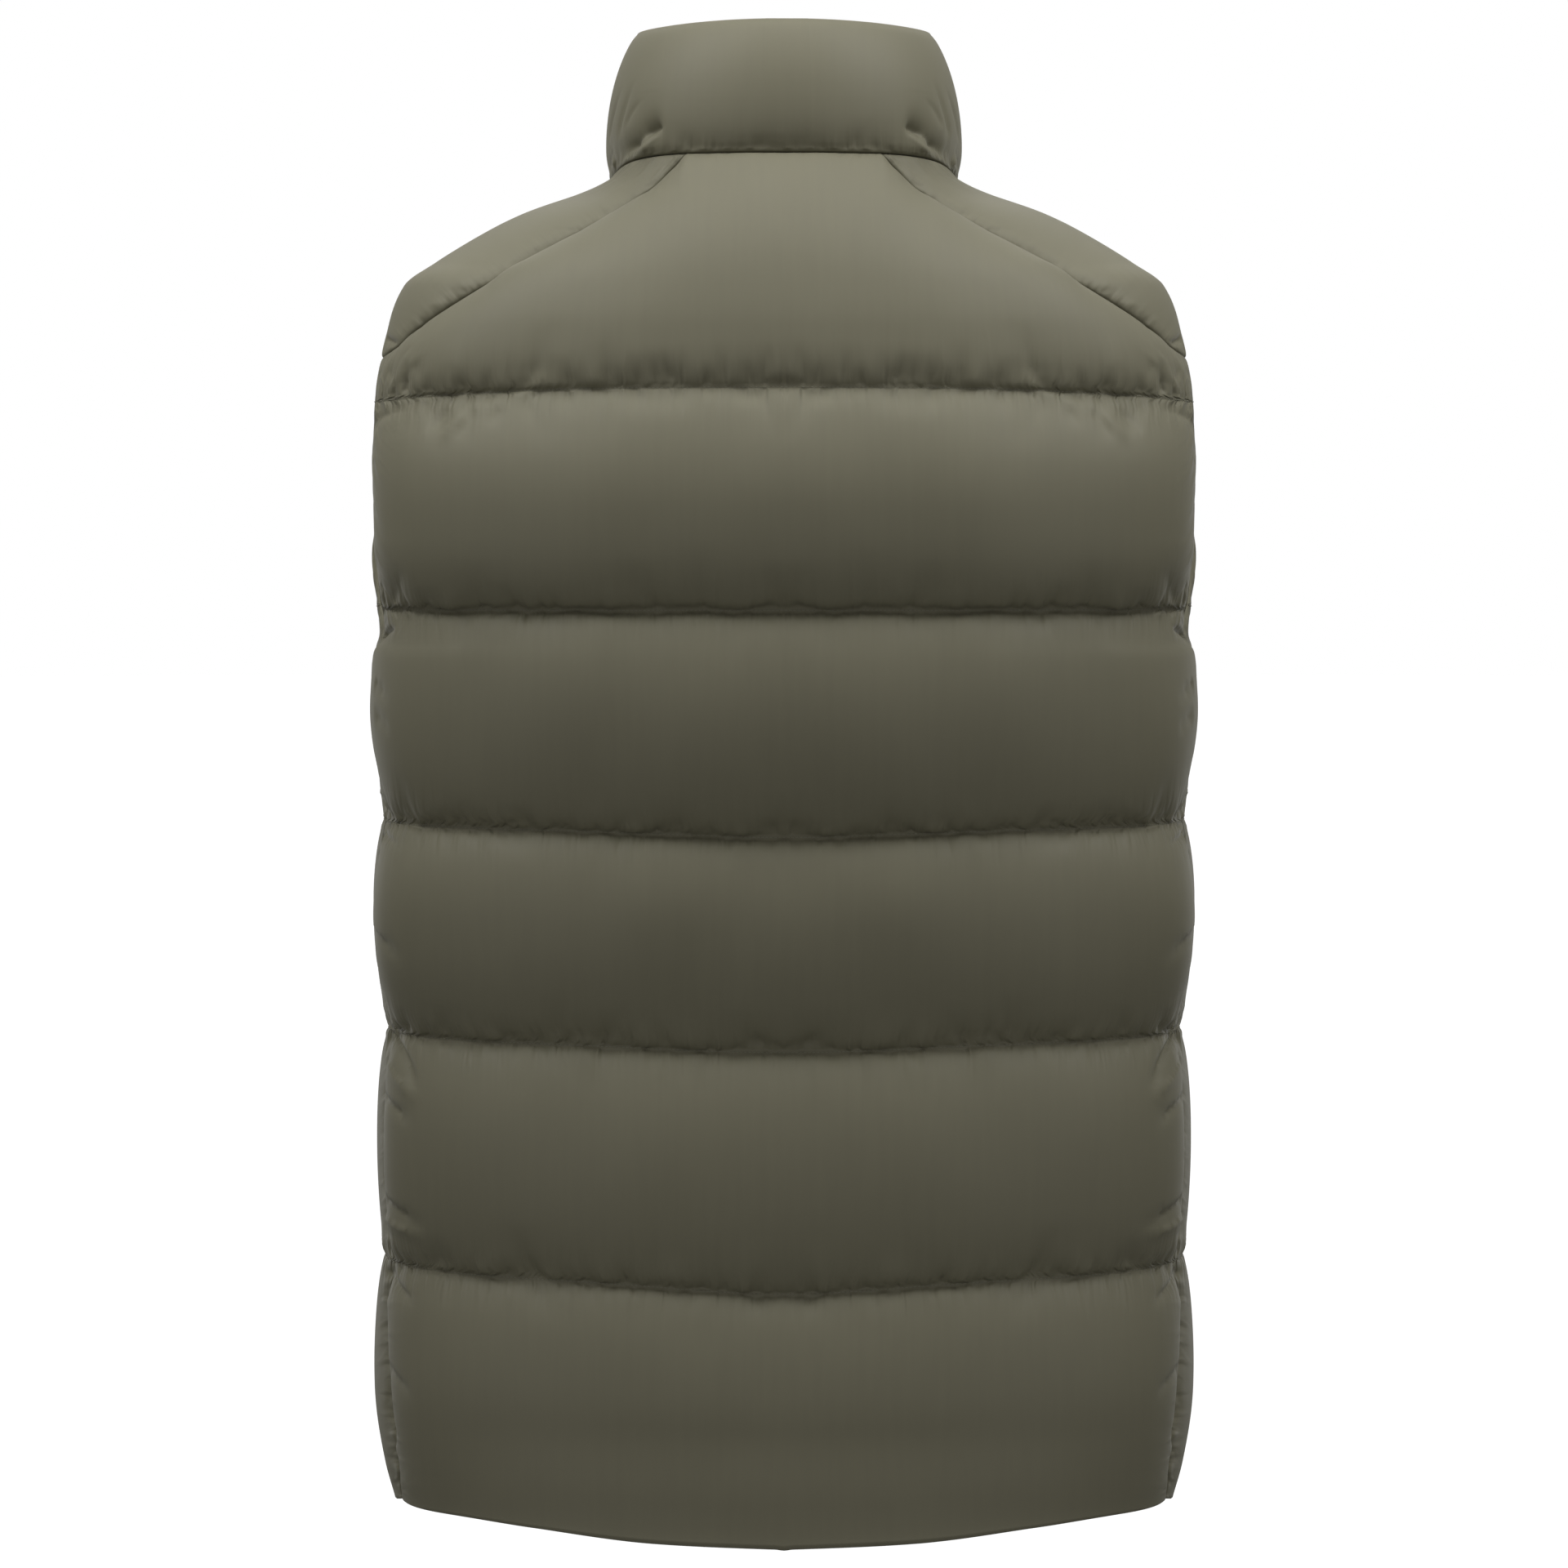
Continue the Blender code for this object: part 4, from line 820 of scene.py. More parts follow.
FRONT_CREASES = (
    (((0.198, -0.219), (0.193, -0.208), (0.186, -0.199)), 0.0045, 0.004, 0.2, 0.4),
    (((0.19, -0.115), (0.18, -0.113), (0.165, -0.111)), 0.0042, 0.0026, 0.1, 0.6),
    (((0.175, -0.133), (0.166, -0.124), (0.158, -0.116)), 0.0034, 0.0014, 0.4, 0.3),
    (((0.02, -0.23), (0.03, -0.235), (0.042, -0.233)), 0.0032, 0.0014, 0.1, 0.5),
    (((0.018, -0.342), (0.028, -0.35), (0.038, -0.352)), 0.0032, 0.0014, 0.1, 0.5),
    (((0.018, -0.45), (0.03, -0.456), (0.041, -0.454)), 0.0032, 0.0015, 0.1, 0.5),
    (((0.018, -0.564), (0.028, -0.57), (0.036, -0.571)), 0.0032, 0.0013, 0.1, 0.5),
)
YOKE_CREASES = (
    (((0.201, -0.08), (0.1985, -0.0815), (0.193, -0.085)), 0.002, 0.0024, 0.1, 0.3),
    (((0.124, -0.034), (0.12, -0.04), (0.115, -0.038)), 0.0026, 0.0009, 0.4, 0.4),
    (((0.093, -0.013), (0.09, -0.02), (0.086, -0.021)), 0.0026, 0.0008, 0.4, 0.4),
)
COLLAR_CREASES = (
    # the big fold at each corner: a hollow under a ridge
    (((0.0605, 0.0242), (0.068, 0.0222), (0.0765, 0.0147), (0.0842, 0.0042)), 0.0046, 0.0056, 0.2, 0.25),
    (((0.0585, 0.0222), (0.07, 0.0135), (0.0815, 0.0018)), 0.0024, -0.0024, 0.2, 0.3),
    (((0.072, 0.0085), (0.0765, 0.005), (0.08, 0.001)), 0.0022, 0.0018, 0.3, 0.3),
    # the narrow fold outside it
    (((0.0856, 0.017), (0.0868, 0.009), (0.0862, 0.002)), 0.0018, -0.002, 0.3, 0.3),
    (((0.0882, 0.02), (0.0888, 0.011), (0.088, 0.003)), 0.002, 0.0018, 0.3, 0.3),
    # soft wrinkles up the side
    (((0.09, 0.018), (0.0868, 0.034), (0.08, 0.048)), 0.0028, 0.0014, 0.3, 0.5),
    (((0.085, 0.019), (0.0815, 0.034), (0.0735, 0.052)), 0.003, 0.0014, 0.3, 0.5),
    (((0.0815, 0.024), (0.077, 0.033), (0.069, 0.04)), 0.0028, 0.001, 0.3, 0.5),
    # shallow dimples over the neck seam
    (((0.056, 0.012), (0.04, 0.0135), (0.024, 0.0118), (0.01, 0.014), (0.0, 0.0145)),
     0.0055, 0.0014, 0.2, 0.01, 1.0),
)
TABLES = (BACK_CREASES, FRONT_CREASES, YOKE_CREASES, COLLAR_CREASES)
print("creases placed by hand on half the vest:", sum(len(table) for table in TABLES))

# %% [markdown]
# ## From a skin to a wall
#
# The finished skin is one sheet. A padded piece also has a lining and an edge where the cloth
# turns from one face to the other. The edge is rolled over in a half circle, and the lining
# closes the wall with far fewer points, because it is plain.

# %% Walls
ROLL_STEPS = 3
LINING_STEP = 8
FREE_ROLL = 0.0014
SEWN_ROLL = 0.0001
LINING_LOFT = 0.0035
THINNEST = 0.0012


def perimeter(rows, columns):
    """Grid places all round the edge, in order."""
    ring = [(r, 0) for r in range(rows)]
    ring += [(rows - 1, c) for c in range(1, columns)]
    ring += [(r, columns - 1) for r in range(rows - 2, -1, -1)]
    return ring + [(0, c) for c in range(columns - 2, 0, -1)]


def drawn_in(grid, sides):
    """The same grid with the named edges moved into the piece by half a seam gap."""
    grid = grid.copy()
    edges = {"bottom": (np.s_[0], np.s_[1]), "top": (np.s_[-1], np.s_[-2])}
    edges |= {"first": (np.s_[:, 0], np.s_[:, 1]), "last": (np.s_[:, -1], np.s_[:, -2])}
    moves = np.zeros_like(grid)
    for side in sides:
        edge, inside = edges[side]
        moves[edge] += unit(grid[inside] - grid[edge]) * SEAM_GAP / 2
    return grid + moves


def coarse(count):
    kept = list(range(0, count, LINING_STEP))
    return kept if kept[-1] == count - 1 else [*kept, count - 1]


def outer_faces(rows, columns, strips):
    """Faces of the outer grid. Between the two close-set strips, every other row is left out."""
    index, quads = grid_quads(rows, columns)
    if strips is None:
        return quads.tolist()
    first, last = strips
    column_of = quads[:, 0] % columns
    faces = quads[(column_of < first) | (column_of >= columns - 1 - last)].tolist()
    for low in range(0, rows - 1, 2):
        bottom, halfway, top = index[low], index[low + 1], index[low + 2]
        for c in range(first, columns - 1 - last):
            face = [bottom[c], top[c], top[c + 1], bottom[c + 1]]
            if c == first:
                face.insert(1, halfway[c])
            if c == columns - 2 - last:
                face.insert(-1, halfway[c + 1])
            faces.append([int(i) for i in face])
    return faces


def wall(name, outer, inner, roll, cut, strips=None):
    """A closed padded wall. `roll` is how far the edge bulges, and `cut` gives the cloth's UV."""
    rows, columns = outer.shape[:2]
    ring = perimeter(rows, columns)
    at = tuple(np.array(ring).T)
    around = np.roll(outer[at], -1, axis=0) - np.roll(outer[at], 1, axis=0)
    thick = outer[at] - inner[at]
    side = unit(np.cross(around, thick))
    middle = outer[rows // 2, columns // 2]
    side *= np.sign(np.median(np.sum(side * (outer[at] - middle), axis=1)))
    points, uvs = [outer.reshape(-1, 3)], [cut.reshape(-1, cut.shape[-1])]
    for k in range(1, ROLL_STEPS + 1):
        turn = math.pi * k / (ROLL_STEPS + 1)
        bulge = side * (roll[at] * math.sin(turn))[:, None]
        points.append((outer[at] + inner[at]) / 2 + thick / 2 * math.cos(turn) + bulge)
        uvs.append(cut[at])
    points.append(inner[at])
    uvs.append(cut[at])
    loops = [np.array([r * columns + c for r, c in ring])]
    start = rows * columns
    loops += [start + k * len(ring) + np.arange(len(ring)) for k in range(ROLL_STEPS + 1)]
    start += (ROLL_STEPS + 1) * len(ring)
    kept_rows, kept_columns = coarse(rows), coarse(columns)
    inside = [(r, c) for r in kept_rows[1:-1] for c in kept_columns[1:-1]]
    where = {place: int(i) for place, i in zip(ring, loops[-1])}
    where |= {place: start + k for k, place in enumerate(inside)}
    picked = tuple(np.array(inside).T)
    points.append(inner[picked])
    uvs.append(cut[picked])
    faces = outer_faces(rows, columns, strips)
    for near, far in zip(loops, loops[1:]):
        faces += np.stack([near, far, np.roll(far, -1), np.roll(near, -1)], -1).tolist()

    def side_path(a, b):
        """Corner a and what lies between it and corner b, along the edge of the piece."""
        on_edge = (a[0] == b[0] and a[0] in (0, rows - 1)) or (a[1] == b[1] and a[1] in (0, columns - 1))
        if not on_edge:
            return [where[a]]
        count = max(abs(b[0] - a[0]), abs(b[1] - a[1]))
        way = ((b[0] - a[0]) // count, (b[1] - a[1]) // count)
        return [where[a[0] + k * way[0], a[1] + k * way[1]] for k in range(count)]

    for r, s in zip(kept_rows, kept_rows[1:]):
        for c, d in zip(kept_columns, kept_columns[1:]):
            places = ((r, c), (r, d), (s, d), (s, c))
            faces.append([i for a, b in zip(places, places[1:] + places[:1]) for i in side_path(a, b)])
    return closed_piece(name, np.concatenate(points), faces, np.concatenate(uvs))


def closed_piece(name, points, faces, uvs):
    """A mesh object with its faces pointing out and its UV map in metres of cut cloth."""
    used = np.unique(np.concatenate([np.asarray(face) for face in faces]))
    new_place = np.zeros(len(points), int)
    new_place[used] = np.arange(len(used))
    mesh = bpy.data.meshes.new(name)
    mesh.from_pydata(points[used].tolist(), [], [new_place[face].tolist() for face in faces])
    uvs = uvs[used]
    corner_points = np.empty(len(mesh.loops), np.int64)
    mesh.loops.foreach_get("vertex_index", corner_points)
    layer = mesh.uv_layers.new(name="cut")
    layer.uv.foreach_set("vector", uvs[corner_points, :2].astype(np.float32).reshape(-1))
    gathered = mesh.attributes.new("gathered", "FLOAT_VECTOR", "POINT")
    marks = np.concatenate([uvs[:, 2:], np.zeros((len(uvs), 1))], axis=1)
    gathered.data.foreach_set("vector", marks.astype(np.float32).reshape(-1))
    shape = bmesh.new()
    shape.from_mesh(mesh)
    bmesh.ops.recalc_face_normals(shape, faces=shape.faces)
    shape.to_mesh(mesh)
    shape.free()
    mesh.shade_smooth()
    piece = bpy.data.objects.new(name, mesh)
    bpy.context.scene.collection.objects.link(piece)
    print(name, "has", sum(len(p.vertices) - 2 for p in mesh.polygons), "triangles")
    return piece


# %% [markdown]
# ## The six padded pieces
#
# Each piece takes its settled skin, its puckers and its creases, and is closed into a wall. The
# sewn edges of neighbours keep a hair's breadth between them, and each edge that is sewn stays
# where it is, so the creases fade out just before it. The lining is lofted a little too,
# because the filling pushes both ways.

# %% Build the padded pieces
SEAM_VALLEY, SEAM_VALLEY_WIDTH = 0.0018, 0.0009
STEADY_EDGE = 0.0022
GATHER_AT_EDGES = 0.5
LINE_GATHER_REACH, EDGE_GATHER_REACH, SIDE_GATHER_REACH = 0.0075, 0.0050, 0.0100
IN_THE_STITCH = 0.0004


def finished(name, grid, out, skin, puff, lines, places, sewn_sides, field_of):
    """Outer and inner face of a piece: gathered, creased, and never thinner than its cloth."""
    moved = drawn_in(grid, sewn_sides) - grid
    outer = fine(skin + moved, lines, *places)
    loft = LINING_LOFT * puff / puff.max()
    inner = fine(grid + moved - out * loft[..., None], lines, *places)
    field, distances = field_of(outer), from_each_edge(outer)
    for distance in distances.values():
        field = field * from_edge(distance, STEADY_EDGE)
    for side in sewn_sides:
        field = field + SEAM_VALLEY * np.exp(-distances[side] / SEAM_VALLEY_WIDTH)
    room = np.linalg.norm(outer - inner, axis=-1) - THINNEST
    sunk = np.minimum(field, np.maximum(room, 0))
    print(name, "sinks by up to", round(1000 * float(sunk.max()), 1), "mm")
    return outer - surface_normals(outer) * sunk[..., None], inner


def gathers(outer, lines, sewn_sides):
    """How gathered the cloth is at each point: along level seams, and along seams that run up."""
    distance = from_each_edge(outer)
    up = distance["bottom"]
    level = [near_seam(np.abs(up - up[row]), LINE_GATHER_REACH) for row in lines]
    upright, nothing = [], np.zeros(outer.shape[:2])
    for side in sewn_sides:
        if side in ("bottom", "top"):
            level.append(GATHER_AT_EDGES * near_seam(distance[side], EDGE_GATHER_REACH))
        else:
            upright.append(near_seam(distance[side], SIDE_GATHER_REACH))
    return np.stack([np.max([nothing, *level], axis=0), np.max([nothing, *upright], axis=0)], axis=-1)


def near_seam(distance, reach):
    return np.exp(-distance / reach) * from_edge(distance, IN_THE_STITCH)


def closed(name, outer, inner, sewn_sides, strips=None, mirror=False, lines=()):
    roll = np.full(outer.shape[:2], FREE_ROLL)
    edges = {"bottom": np.s_[0], "top": np.s_[-1], "first": np.s_[:, 0], "last": np.s_[:, -1]}
    for side in sewn_sides:
        roll[edges[side]] = SEWN_ROLL
    cut = np.concatenate([cut_map(outer), gathers(outer, lines, sewn_sides)], axis=-1)
    if mirror:
        outer, inner = mirrored(outer), mirrored(inner)
    return wall(name, outer, inner, roll, cut, strips)


ARMHOLE_CALM, CALM_REACH = 0.12, 0.015


def calmer_at_armhole(outer):
    """1 beside the side seam, and a small share up the free edge of the armhole."""
    below = np.clip((ARMHOLE_BOTTOM - outer[..., 2]) / CALM_REACH, 0, 1)
    return ARMHOLE_CALM + (1 - ARMHOLE_CALM) * below


# spacing, length, depth and width of the puckers along each sewn edge
NARROW = (0.0014, 0.0034)
BACK_TOP_PUCKERS = ((0.007, 0.019), (0.006, 0.016), (0.0002, 0.0008), NARROW)
BACK_SIDE_PUCKERS = ((0.008, 0.020), (0.008, 0.024), (0.0014, 0.0040), (0.0010, 0.0022))
FRONT_SIDE_PUCKERS = ((0.008, 0.020), (0.007, 0.022), (0.0012, 0.0034), (0.0011, 0.0024))
FRONT_TOP_PUCKERS = ((0.007, 0.019), (0.006, 0.016), (0.0003, 0.0009), NARROW)
YOKE_PUCKERS = ((0.008, 0.022), (0.006, 0.018), (0.0002, 0.0009), NARROW)
COLLAR_PUCKERS = ((0.009, 0.026), (0.007, 0.018), (0.0002, 0.0008), NARROW)


def field_of_back(outer):
    edges = from_each_edge(outer)
    beside = np.minimum(edges["first"], edges["last"])
    # The puckers of the quilting fade towards the free edge of the armhole, which stays smooth.
    free_edge = (outer[..., 2] > ARMHOLE_BOTTOM) * np.exp(-((beside / CALM_REACH) ** 2))
    field = quilting_puckers(outer, BODY_LINES, 40) * (1 - free_edge) + creases(outer, BACK_CREASES)
    across = np.abs(edges["first"] - edges["first"][:, edges["first"].shape[1] // 2][:, None])
    field += puckers(across, edges["top"], 71, *BACK_TOP_PUCKERS)
    gathered = puckers(edges["bottom"], beside, 72, *BACK_SIDE_PUCKERS)
    return field + gathered * calmer_at_armhole(outer)


def field_of_front(outer):
    edges = from_each_edge(outer)
    field = quilting_puckers(outer, BODY_LINES, 80) + creases(outer, FRONT_CREASES, behind=-1)
    for side, seed, calm in (("first", 111, 1.0), ("last", 112, calmer_at_armhole(outer))):
        field += puckers(edges["bottom"], edges[side], seed, *FRONT_SIDE_PUCKERS) * calm
    return field + puckers(edges["first"], edges["top"], 113, *FRONT_TOP_PUCKERS)


def field_of_yoke(outer):
    edges = from_each_edge(outer)
    field = creases(outer, YOKE_CREASES)
    for side, seed in (("bottom", 131), ("top", 132)):
        field += puckers(edges["first"], edges[side], seed, *YOKE_PUCKERS)
    return field


def field_of_collar(outer):
    edges = from_each_edge(outer)
    around = edges["first"]
    across = np.abs(around - around[:, around.shape[1] // 2][:, None])
    field = creases(outer, COLLAR_CREASES)
    return field + puckers(across, edges["bottom"], 151, *COLLAR_PUCKERS)


padded, skins = {}, {}
sewn, strips = ("first", "last", "top"), (BACK_STRIP[1], BACK_STRIP[1])
up_places = evenly(len(back), TIMES_UP)
places = (up_places, crowded(back.shape[1], BACK_STRIP, BACK_STRIP, BACK_MIDDLE_STEPS))
skins["back"] = finished(
    "back", back, back_out, back_skin, back_puff, ROW_OF_LINE, places, sewn, field_of_back
)
skins["back"] = tuple(symmetric(face) for face in skins["back"])
padded["back_panel"] = closed("vest_back", *skins["back"], sewn, strips, lines=BODY_LINES)
sewn, strips = ("last", "top"), (ZIP_STRIP[1], FRONT_STRIP[1])
places = (up_places, crowded(front.shape[1], ZIP_STRIP, FRONT_STRIP, FRONT_MIDDLE_STEPS))
skins["front"] = finished(
    "front", front, front_out, front_skin, front_puff, ROW_OF_LINE, places, sewn, field_of_front
)
padded["front_panel_left"] = closed("vest_front_left", *skins["front"], sewn, strips, lines=BODY_LINES)
padded["front_panel_right"] = closed("vest_front_right", *skins["front"], sewn, strips, True, BODY_LINES)
sewn = ("bottom", "top", "first")
places = (crowded(len(yoke), YOKE_STRIP, YOKE_STRIP, 70), evenly(yoke.shape[1], 3))
skins["yoke"] = finished("yoke", yoke, yoke_out, yoke_skin, yoke_puff, (), places, sewn, field_of_yoke)
padded["shoulder_yoke_left"] = closed("vest_yoke_left", *skins["yoke"], sewn)
padded["shoulder_yoke_right"] = closed("vest_yoke_right", *skins["yoke"], sewn, mirror=True)
places = (evenly(len(collar_inner), 3), evenly(collar_inner.shape[1], 3))
skins["collar"] = finished(
    "collar", collar_inner, collar_out, collar_skin, collar_puff, (), places, (), field_of_collar
)
padded["collar"] = closed("vest_collar", *skins["collar"], ("bottom",))

# %% [markdown]
# ## The cloth's finish
#
# The outer cloth is a matt woven polyester in olive. Close up it has a fine plain weave. From a
# step away it shows only a soft sheen at grazing angles and very small changes in colour, where
# the filling presses the cloth. One node group makes the weave, so every cloth here can use it.

# %% Shader groups
def socket(group, name, way, kind, value=None):
    made = group.interface.new_socket(name=name, in_out=way, socket_type=kind)
    if value is not None:
        made.default_value = value
    return made


def link(tree, a, b):
    tree.links.new(a, b)


def math_node(tree, operation, first, second):
    """A Math node whose inputs are sockets or plain numbers."""
    node = tree.nodes.new("ShaderNodeMath")
    node.operation = operation
    for k, value in enumerate((first, second)):
        if isinstance(value, (int, float)):
            node.inputs[k].default_value = value
        else:
            link(tree, value, node.inputs[k])
    return node.outputs[0]


def weave_group():
    """Plain weave on the cut cloth: a height from 0 to 1, and a mask that varies from yarn to yarn."""
    group = bpy.data.node_groups.new("plain weave", "ShaderNodeTree")
    socket(group, "Cut Map", "INPUT", "NodeSocketVector")
    socket(group, "Yarns Per Metre", "INPUT", "NodeSocketFloat", 2600.0)
    socket(group, "Height", "OUTPUT", "NodeSocketFloat")
    socket(group, "Slub", "OUTPUT", "NodeSocketFloat")
    inside, outside_ = group.nodes.new("NodeGroupInput"), group.nodes.new("NodeGroupOutput")
    scale = group.nodes.new("ShaderNodeVectorMath")
    scale.operation = "SCALE"
    link(group, inside.outputs["Cut Map"], scale.inputs[0])
    link(group, inside.outputs["Yarns Per Metre"], scale.inputs["Scale"])
    parts = group.nodes.new("ShaderNodeSeparateXYZ")
    link(group, scale.outputs[0], parts.inputs[0])
    warp = math_node(group, "SINE", math_node(group, "MULTIPLY", parts.outputs[0], math.pi), 0.0)
    weft = math_node(group, "SINE", math_node(group, "MULTIPLY", parts.outputs[1], math.pi), 0.0)
    crossed = math_node(group, "MULTIPLY", warp, weft)
    height = math_node(group, "MULTIPLY_ADD", crossed, 0.5)
    height.node.inputs[2].default_value = 0.5
    stretch = group.nodes.new("ShaderNodeMapping")
    stretch.inputs["Scale"].default_value = (240.0, 18.0, 1.0)
    link(group, inside.outputs["Cut Map"], stretch.inputs["Vector"])
    slub = group.nodes.new("ShaderNodeTexNoise")
    slub.inputs["Scale"].default_value = 1.0
    slub.inputs["Detail"].default_value = 3.0
    link(group, stretch.outputs[0], slub.inputs["Vector"])
    link(group, height, outside_.inputs["Height"])
    link(group, slub.outputs["Fac"], outside_.inputs["Slub"])
    return group


WEAVE = weave_group()


def gather_group():
    """Fine gathers beside a seam: noise that is stretched square to the seam, where cloth is gathered."""
    group = bpy.data.node_groups.new("gathers", "ShaderNodeTree")
    socket(group, "Cut Map", "INPUT", "NodeSocketVector")
    socket(group, "Gathered", "INPUT", "NodeSocketVector")
    socket(group, "Height", "OUTPUT", "NodeSocketFloat")
    inside, outside_ = group.nodes.new("NodeGroupInput"), group.nodes.new("NodeGroupOutput")
    folded = group.nodes.new("ShaderNodeVectorMath")
    folded.operation = "ABSOLUTE"
    link(group, inside.outputs["Cut Map"], folded.inputs[0])
    amounts = group.nodes.new("ShaderNodeSeparateXYZ")
    link(group, inside.outputs["Gathered"], amounts.inputs[0])
    heights = []
    for k, stretch in enumerate(((170.0, 26.0, 1.0), (34.0, 120.0, 1.0))):
        mapping = group.nodes.new("ShaderNodeMapping")
        mapping.inputs["Scale"].default_value = stretch
        mapping.inputs["Location"].default_value = (7.3 * k, 3.1 * k, 0.0)
        link(group, folded.outputs[0], mapping.inputs["Vector"])
        noise = group.nodes.new("ShaderNodeTexNoise")
        noise.inputs["Scale"].default_value = 1.0
        noise.inputs["Detail"].default_value = 1.5
        noise.inputs["Distortion"].default_value = 0.35
        link(group, mapping.outputs[0], noise.inputs["Vector"])
        centred = math_node(group, "SUBTRACT", noise.outputs["Fac"], 0.5)
        heights.append(math_node(group, "MULTIPLY", centred, amounts.outputs[k]))
    link(group, math_node(group, "ADD", *heights), outside_.inputs["Height"])
    return group


GATHERS = gather_group()


def cloth(name, dark, light, yarns, roughness, sheen, bump=0.12, gather_depth=0.0):
    """A woven cloth: colour between dark and light, fine weave bump, soft sheen.

    With no depth of gathers it is for a piece that has no cut map, and the weave runs up the piece.
    """
    made = bpy.data.materials.new(name)
    made.use_nodes = True
    tree = made.node_tree
    shader = tree.nodes["Principled BSDF"]
    shader.inputs["Sheen Weight"].default_value = sheen
    shader.inputs["Sheen Roughness"].default_value = 0.5
    shader.inputs["Specular IOR Level"].default_value = 0.4
    place = tree.nodes.new("ShaderNodeTexCoord")
    if gather_depth:
        cut = tree.nodes.new("ShaderNodeUVMap")
        cut.uv_map = "cut"
    else:
        parts, cut = tree.nodes.new("ShaderNodeSeparateXYZ"), tree.nodes.new("ShaderNodeCombineXYZ")
        link(tree, place.outputs["Object"], parts.inputs[0])
        link(tree, parts.outputs["X"], cut.inputs["X"])
        link(tree, parts.outputs["Z"], cut.inputs["Y"])
    weave = tree.nodes.new("ShaderNodeGroup")
    weave.node_tree = WEAVE
    weave.inputs["Yarns Per Metre"].default_value = yarns
    link(tree, cut.outputs[0], weave.inputs["Cut Map"])
    cloud = tree.nodes.new("ShaderNodeTexNoise")
    cloud.inputs["Scale"].default_value = 14.0
    cloud.inputs["Detail"].default_value = 4.0
    link(tree, place.outputs["Object"], cloud.inputs["Vector"])
    both = math_node(tree, "ADD", cloud.outputs["Fac"], weave.outputs["Slub"])
    blend = math_node(tree, "MULTIPLY", both, 0.5)
    ramp = tree.nodes.new("ShaderNodeValToRGB")
    ramp.color_ramp.elements[0].position, ramp.color_ramp.elements[1].position = 0.38, 0.62
    ramp.color_ramp.elements[0].color = (*dark, 1.0)
    ramp.color_ramp.elements[1].color = (*light, 1.0)
    link(tree, blend, ramp.inputs["Fac"])
    link(tree, ramp.outputs["Color"], shader.inputs["Base Color"])
    rough = math_node(tree, "MULTIPLY_ADD", weave.outputs["Slub"], 0.12)
    rough.node.inputs[2].default_value = roughness - 0.06
    link(tree, rough, shader.inputs["Roughness"])
    bumps = tree.nodes.new("ShaderNodeBump")
    bumps.inputs["Strength"].default_value = bump
    bumps.inputs["Distance"].default_value = 0.0002
    link(tree, weave.outputs["Height"], bumps.inputs["Height"])
    if gather_depth:
        gathered = tree.nodes.new("ShaderNodeAttribute")
        gathered.attribute_name = "gathered"
        folds, pressed = tree.nodes.new("ShaderNodeGroup"), tree.nodes.new("ShaderNodeBump")
        folds.node_tree = GATHERS
        link(tree, cut.outputs[0], folds.inputs["Cut Map"])
        link(tree, gathered.outputs["Vector"], folds.inputs["Gathered"])
        pressed.inputs["Strength"].default_value = 1.0
        pressed.inputs["Distance"].default_value = gather_depth
        link(tree, folds.outputs["Height"], pressed.inputs["Height"])
        link(tree, pressed.outputs["Normal"], bumps.inputs["Normal"])
    link(tree, bumps.outputs["Normal"], shader.inputs["Normal"])
    return made


OLIVE_DARK, OLIVE_LIGHT = (0.147, 0.1390, 0.0930), (0.155, 0.1465, 0.0985)
GATHER_DEPTH = 0.006
SHELL = cloth("olive_shell", OLIVE_DARK, OLIVE_LIGHT, 3600.0, 0.62, 0.03, 0.06, GATHER_DEPTH)
for node, piece in padded.items():
    piece.data.materials.append(SHELL)
    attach(piece, "vest")
    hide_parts(node)

# %% [markdown]
# ## Stitches
#
# A stitch is a short loop of thread that sinks into the cloth at both ends. There are some
# thousands of them, all alike, so Geometry Nodes lay them: the tree walks along a line in even
# steps, and puts one small stitch at each step, with its length along the line and its back to
# the cloth. The line carries the way out of the cloth as an attribute.

# %% A tree that lays stitches
def node(tree, kind, **settings):
    made = tree.nodes.new(kind)
    for key, value in settings.items():
        setattr(made, key, value)
    return made


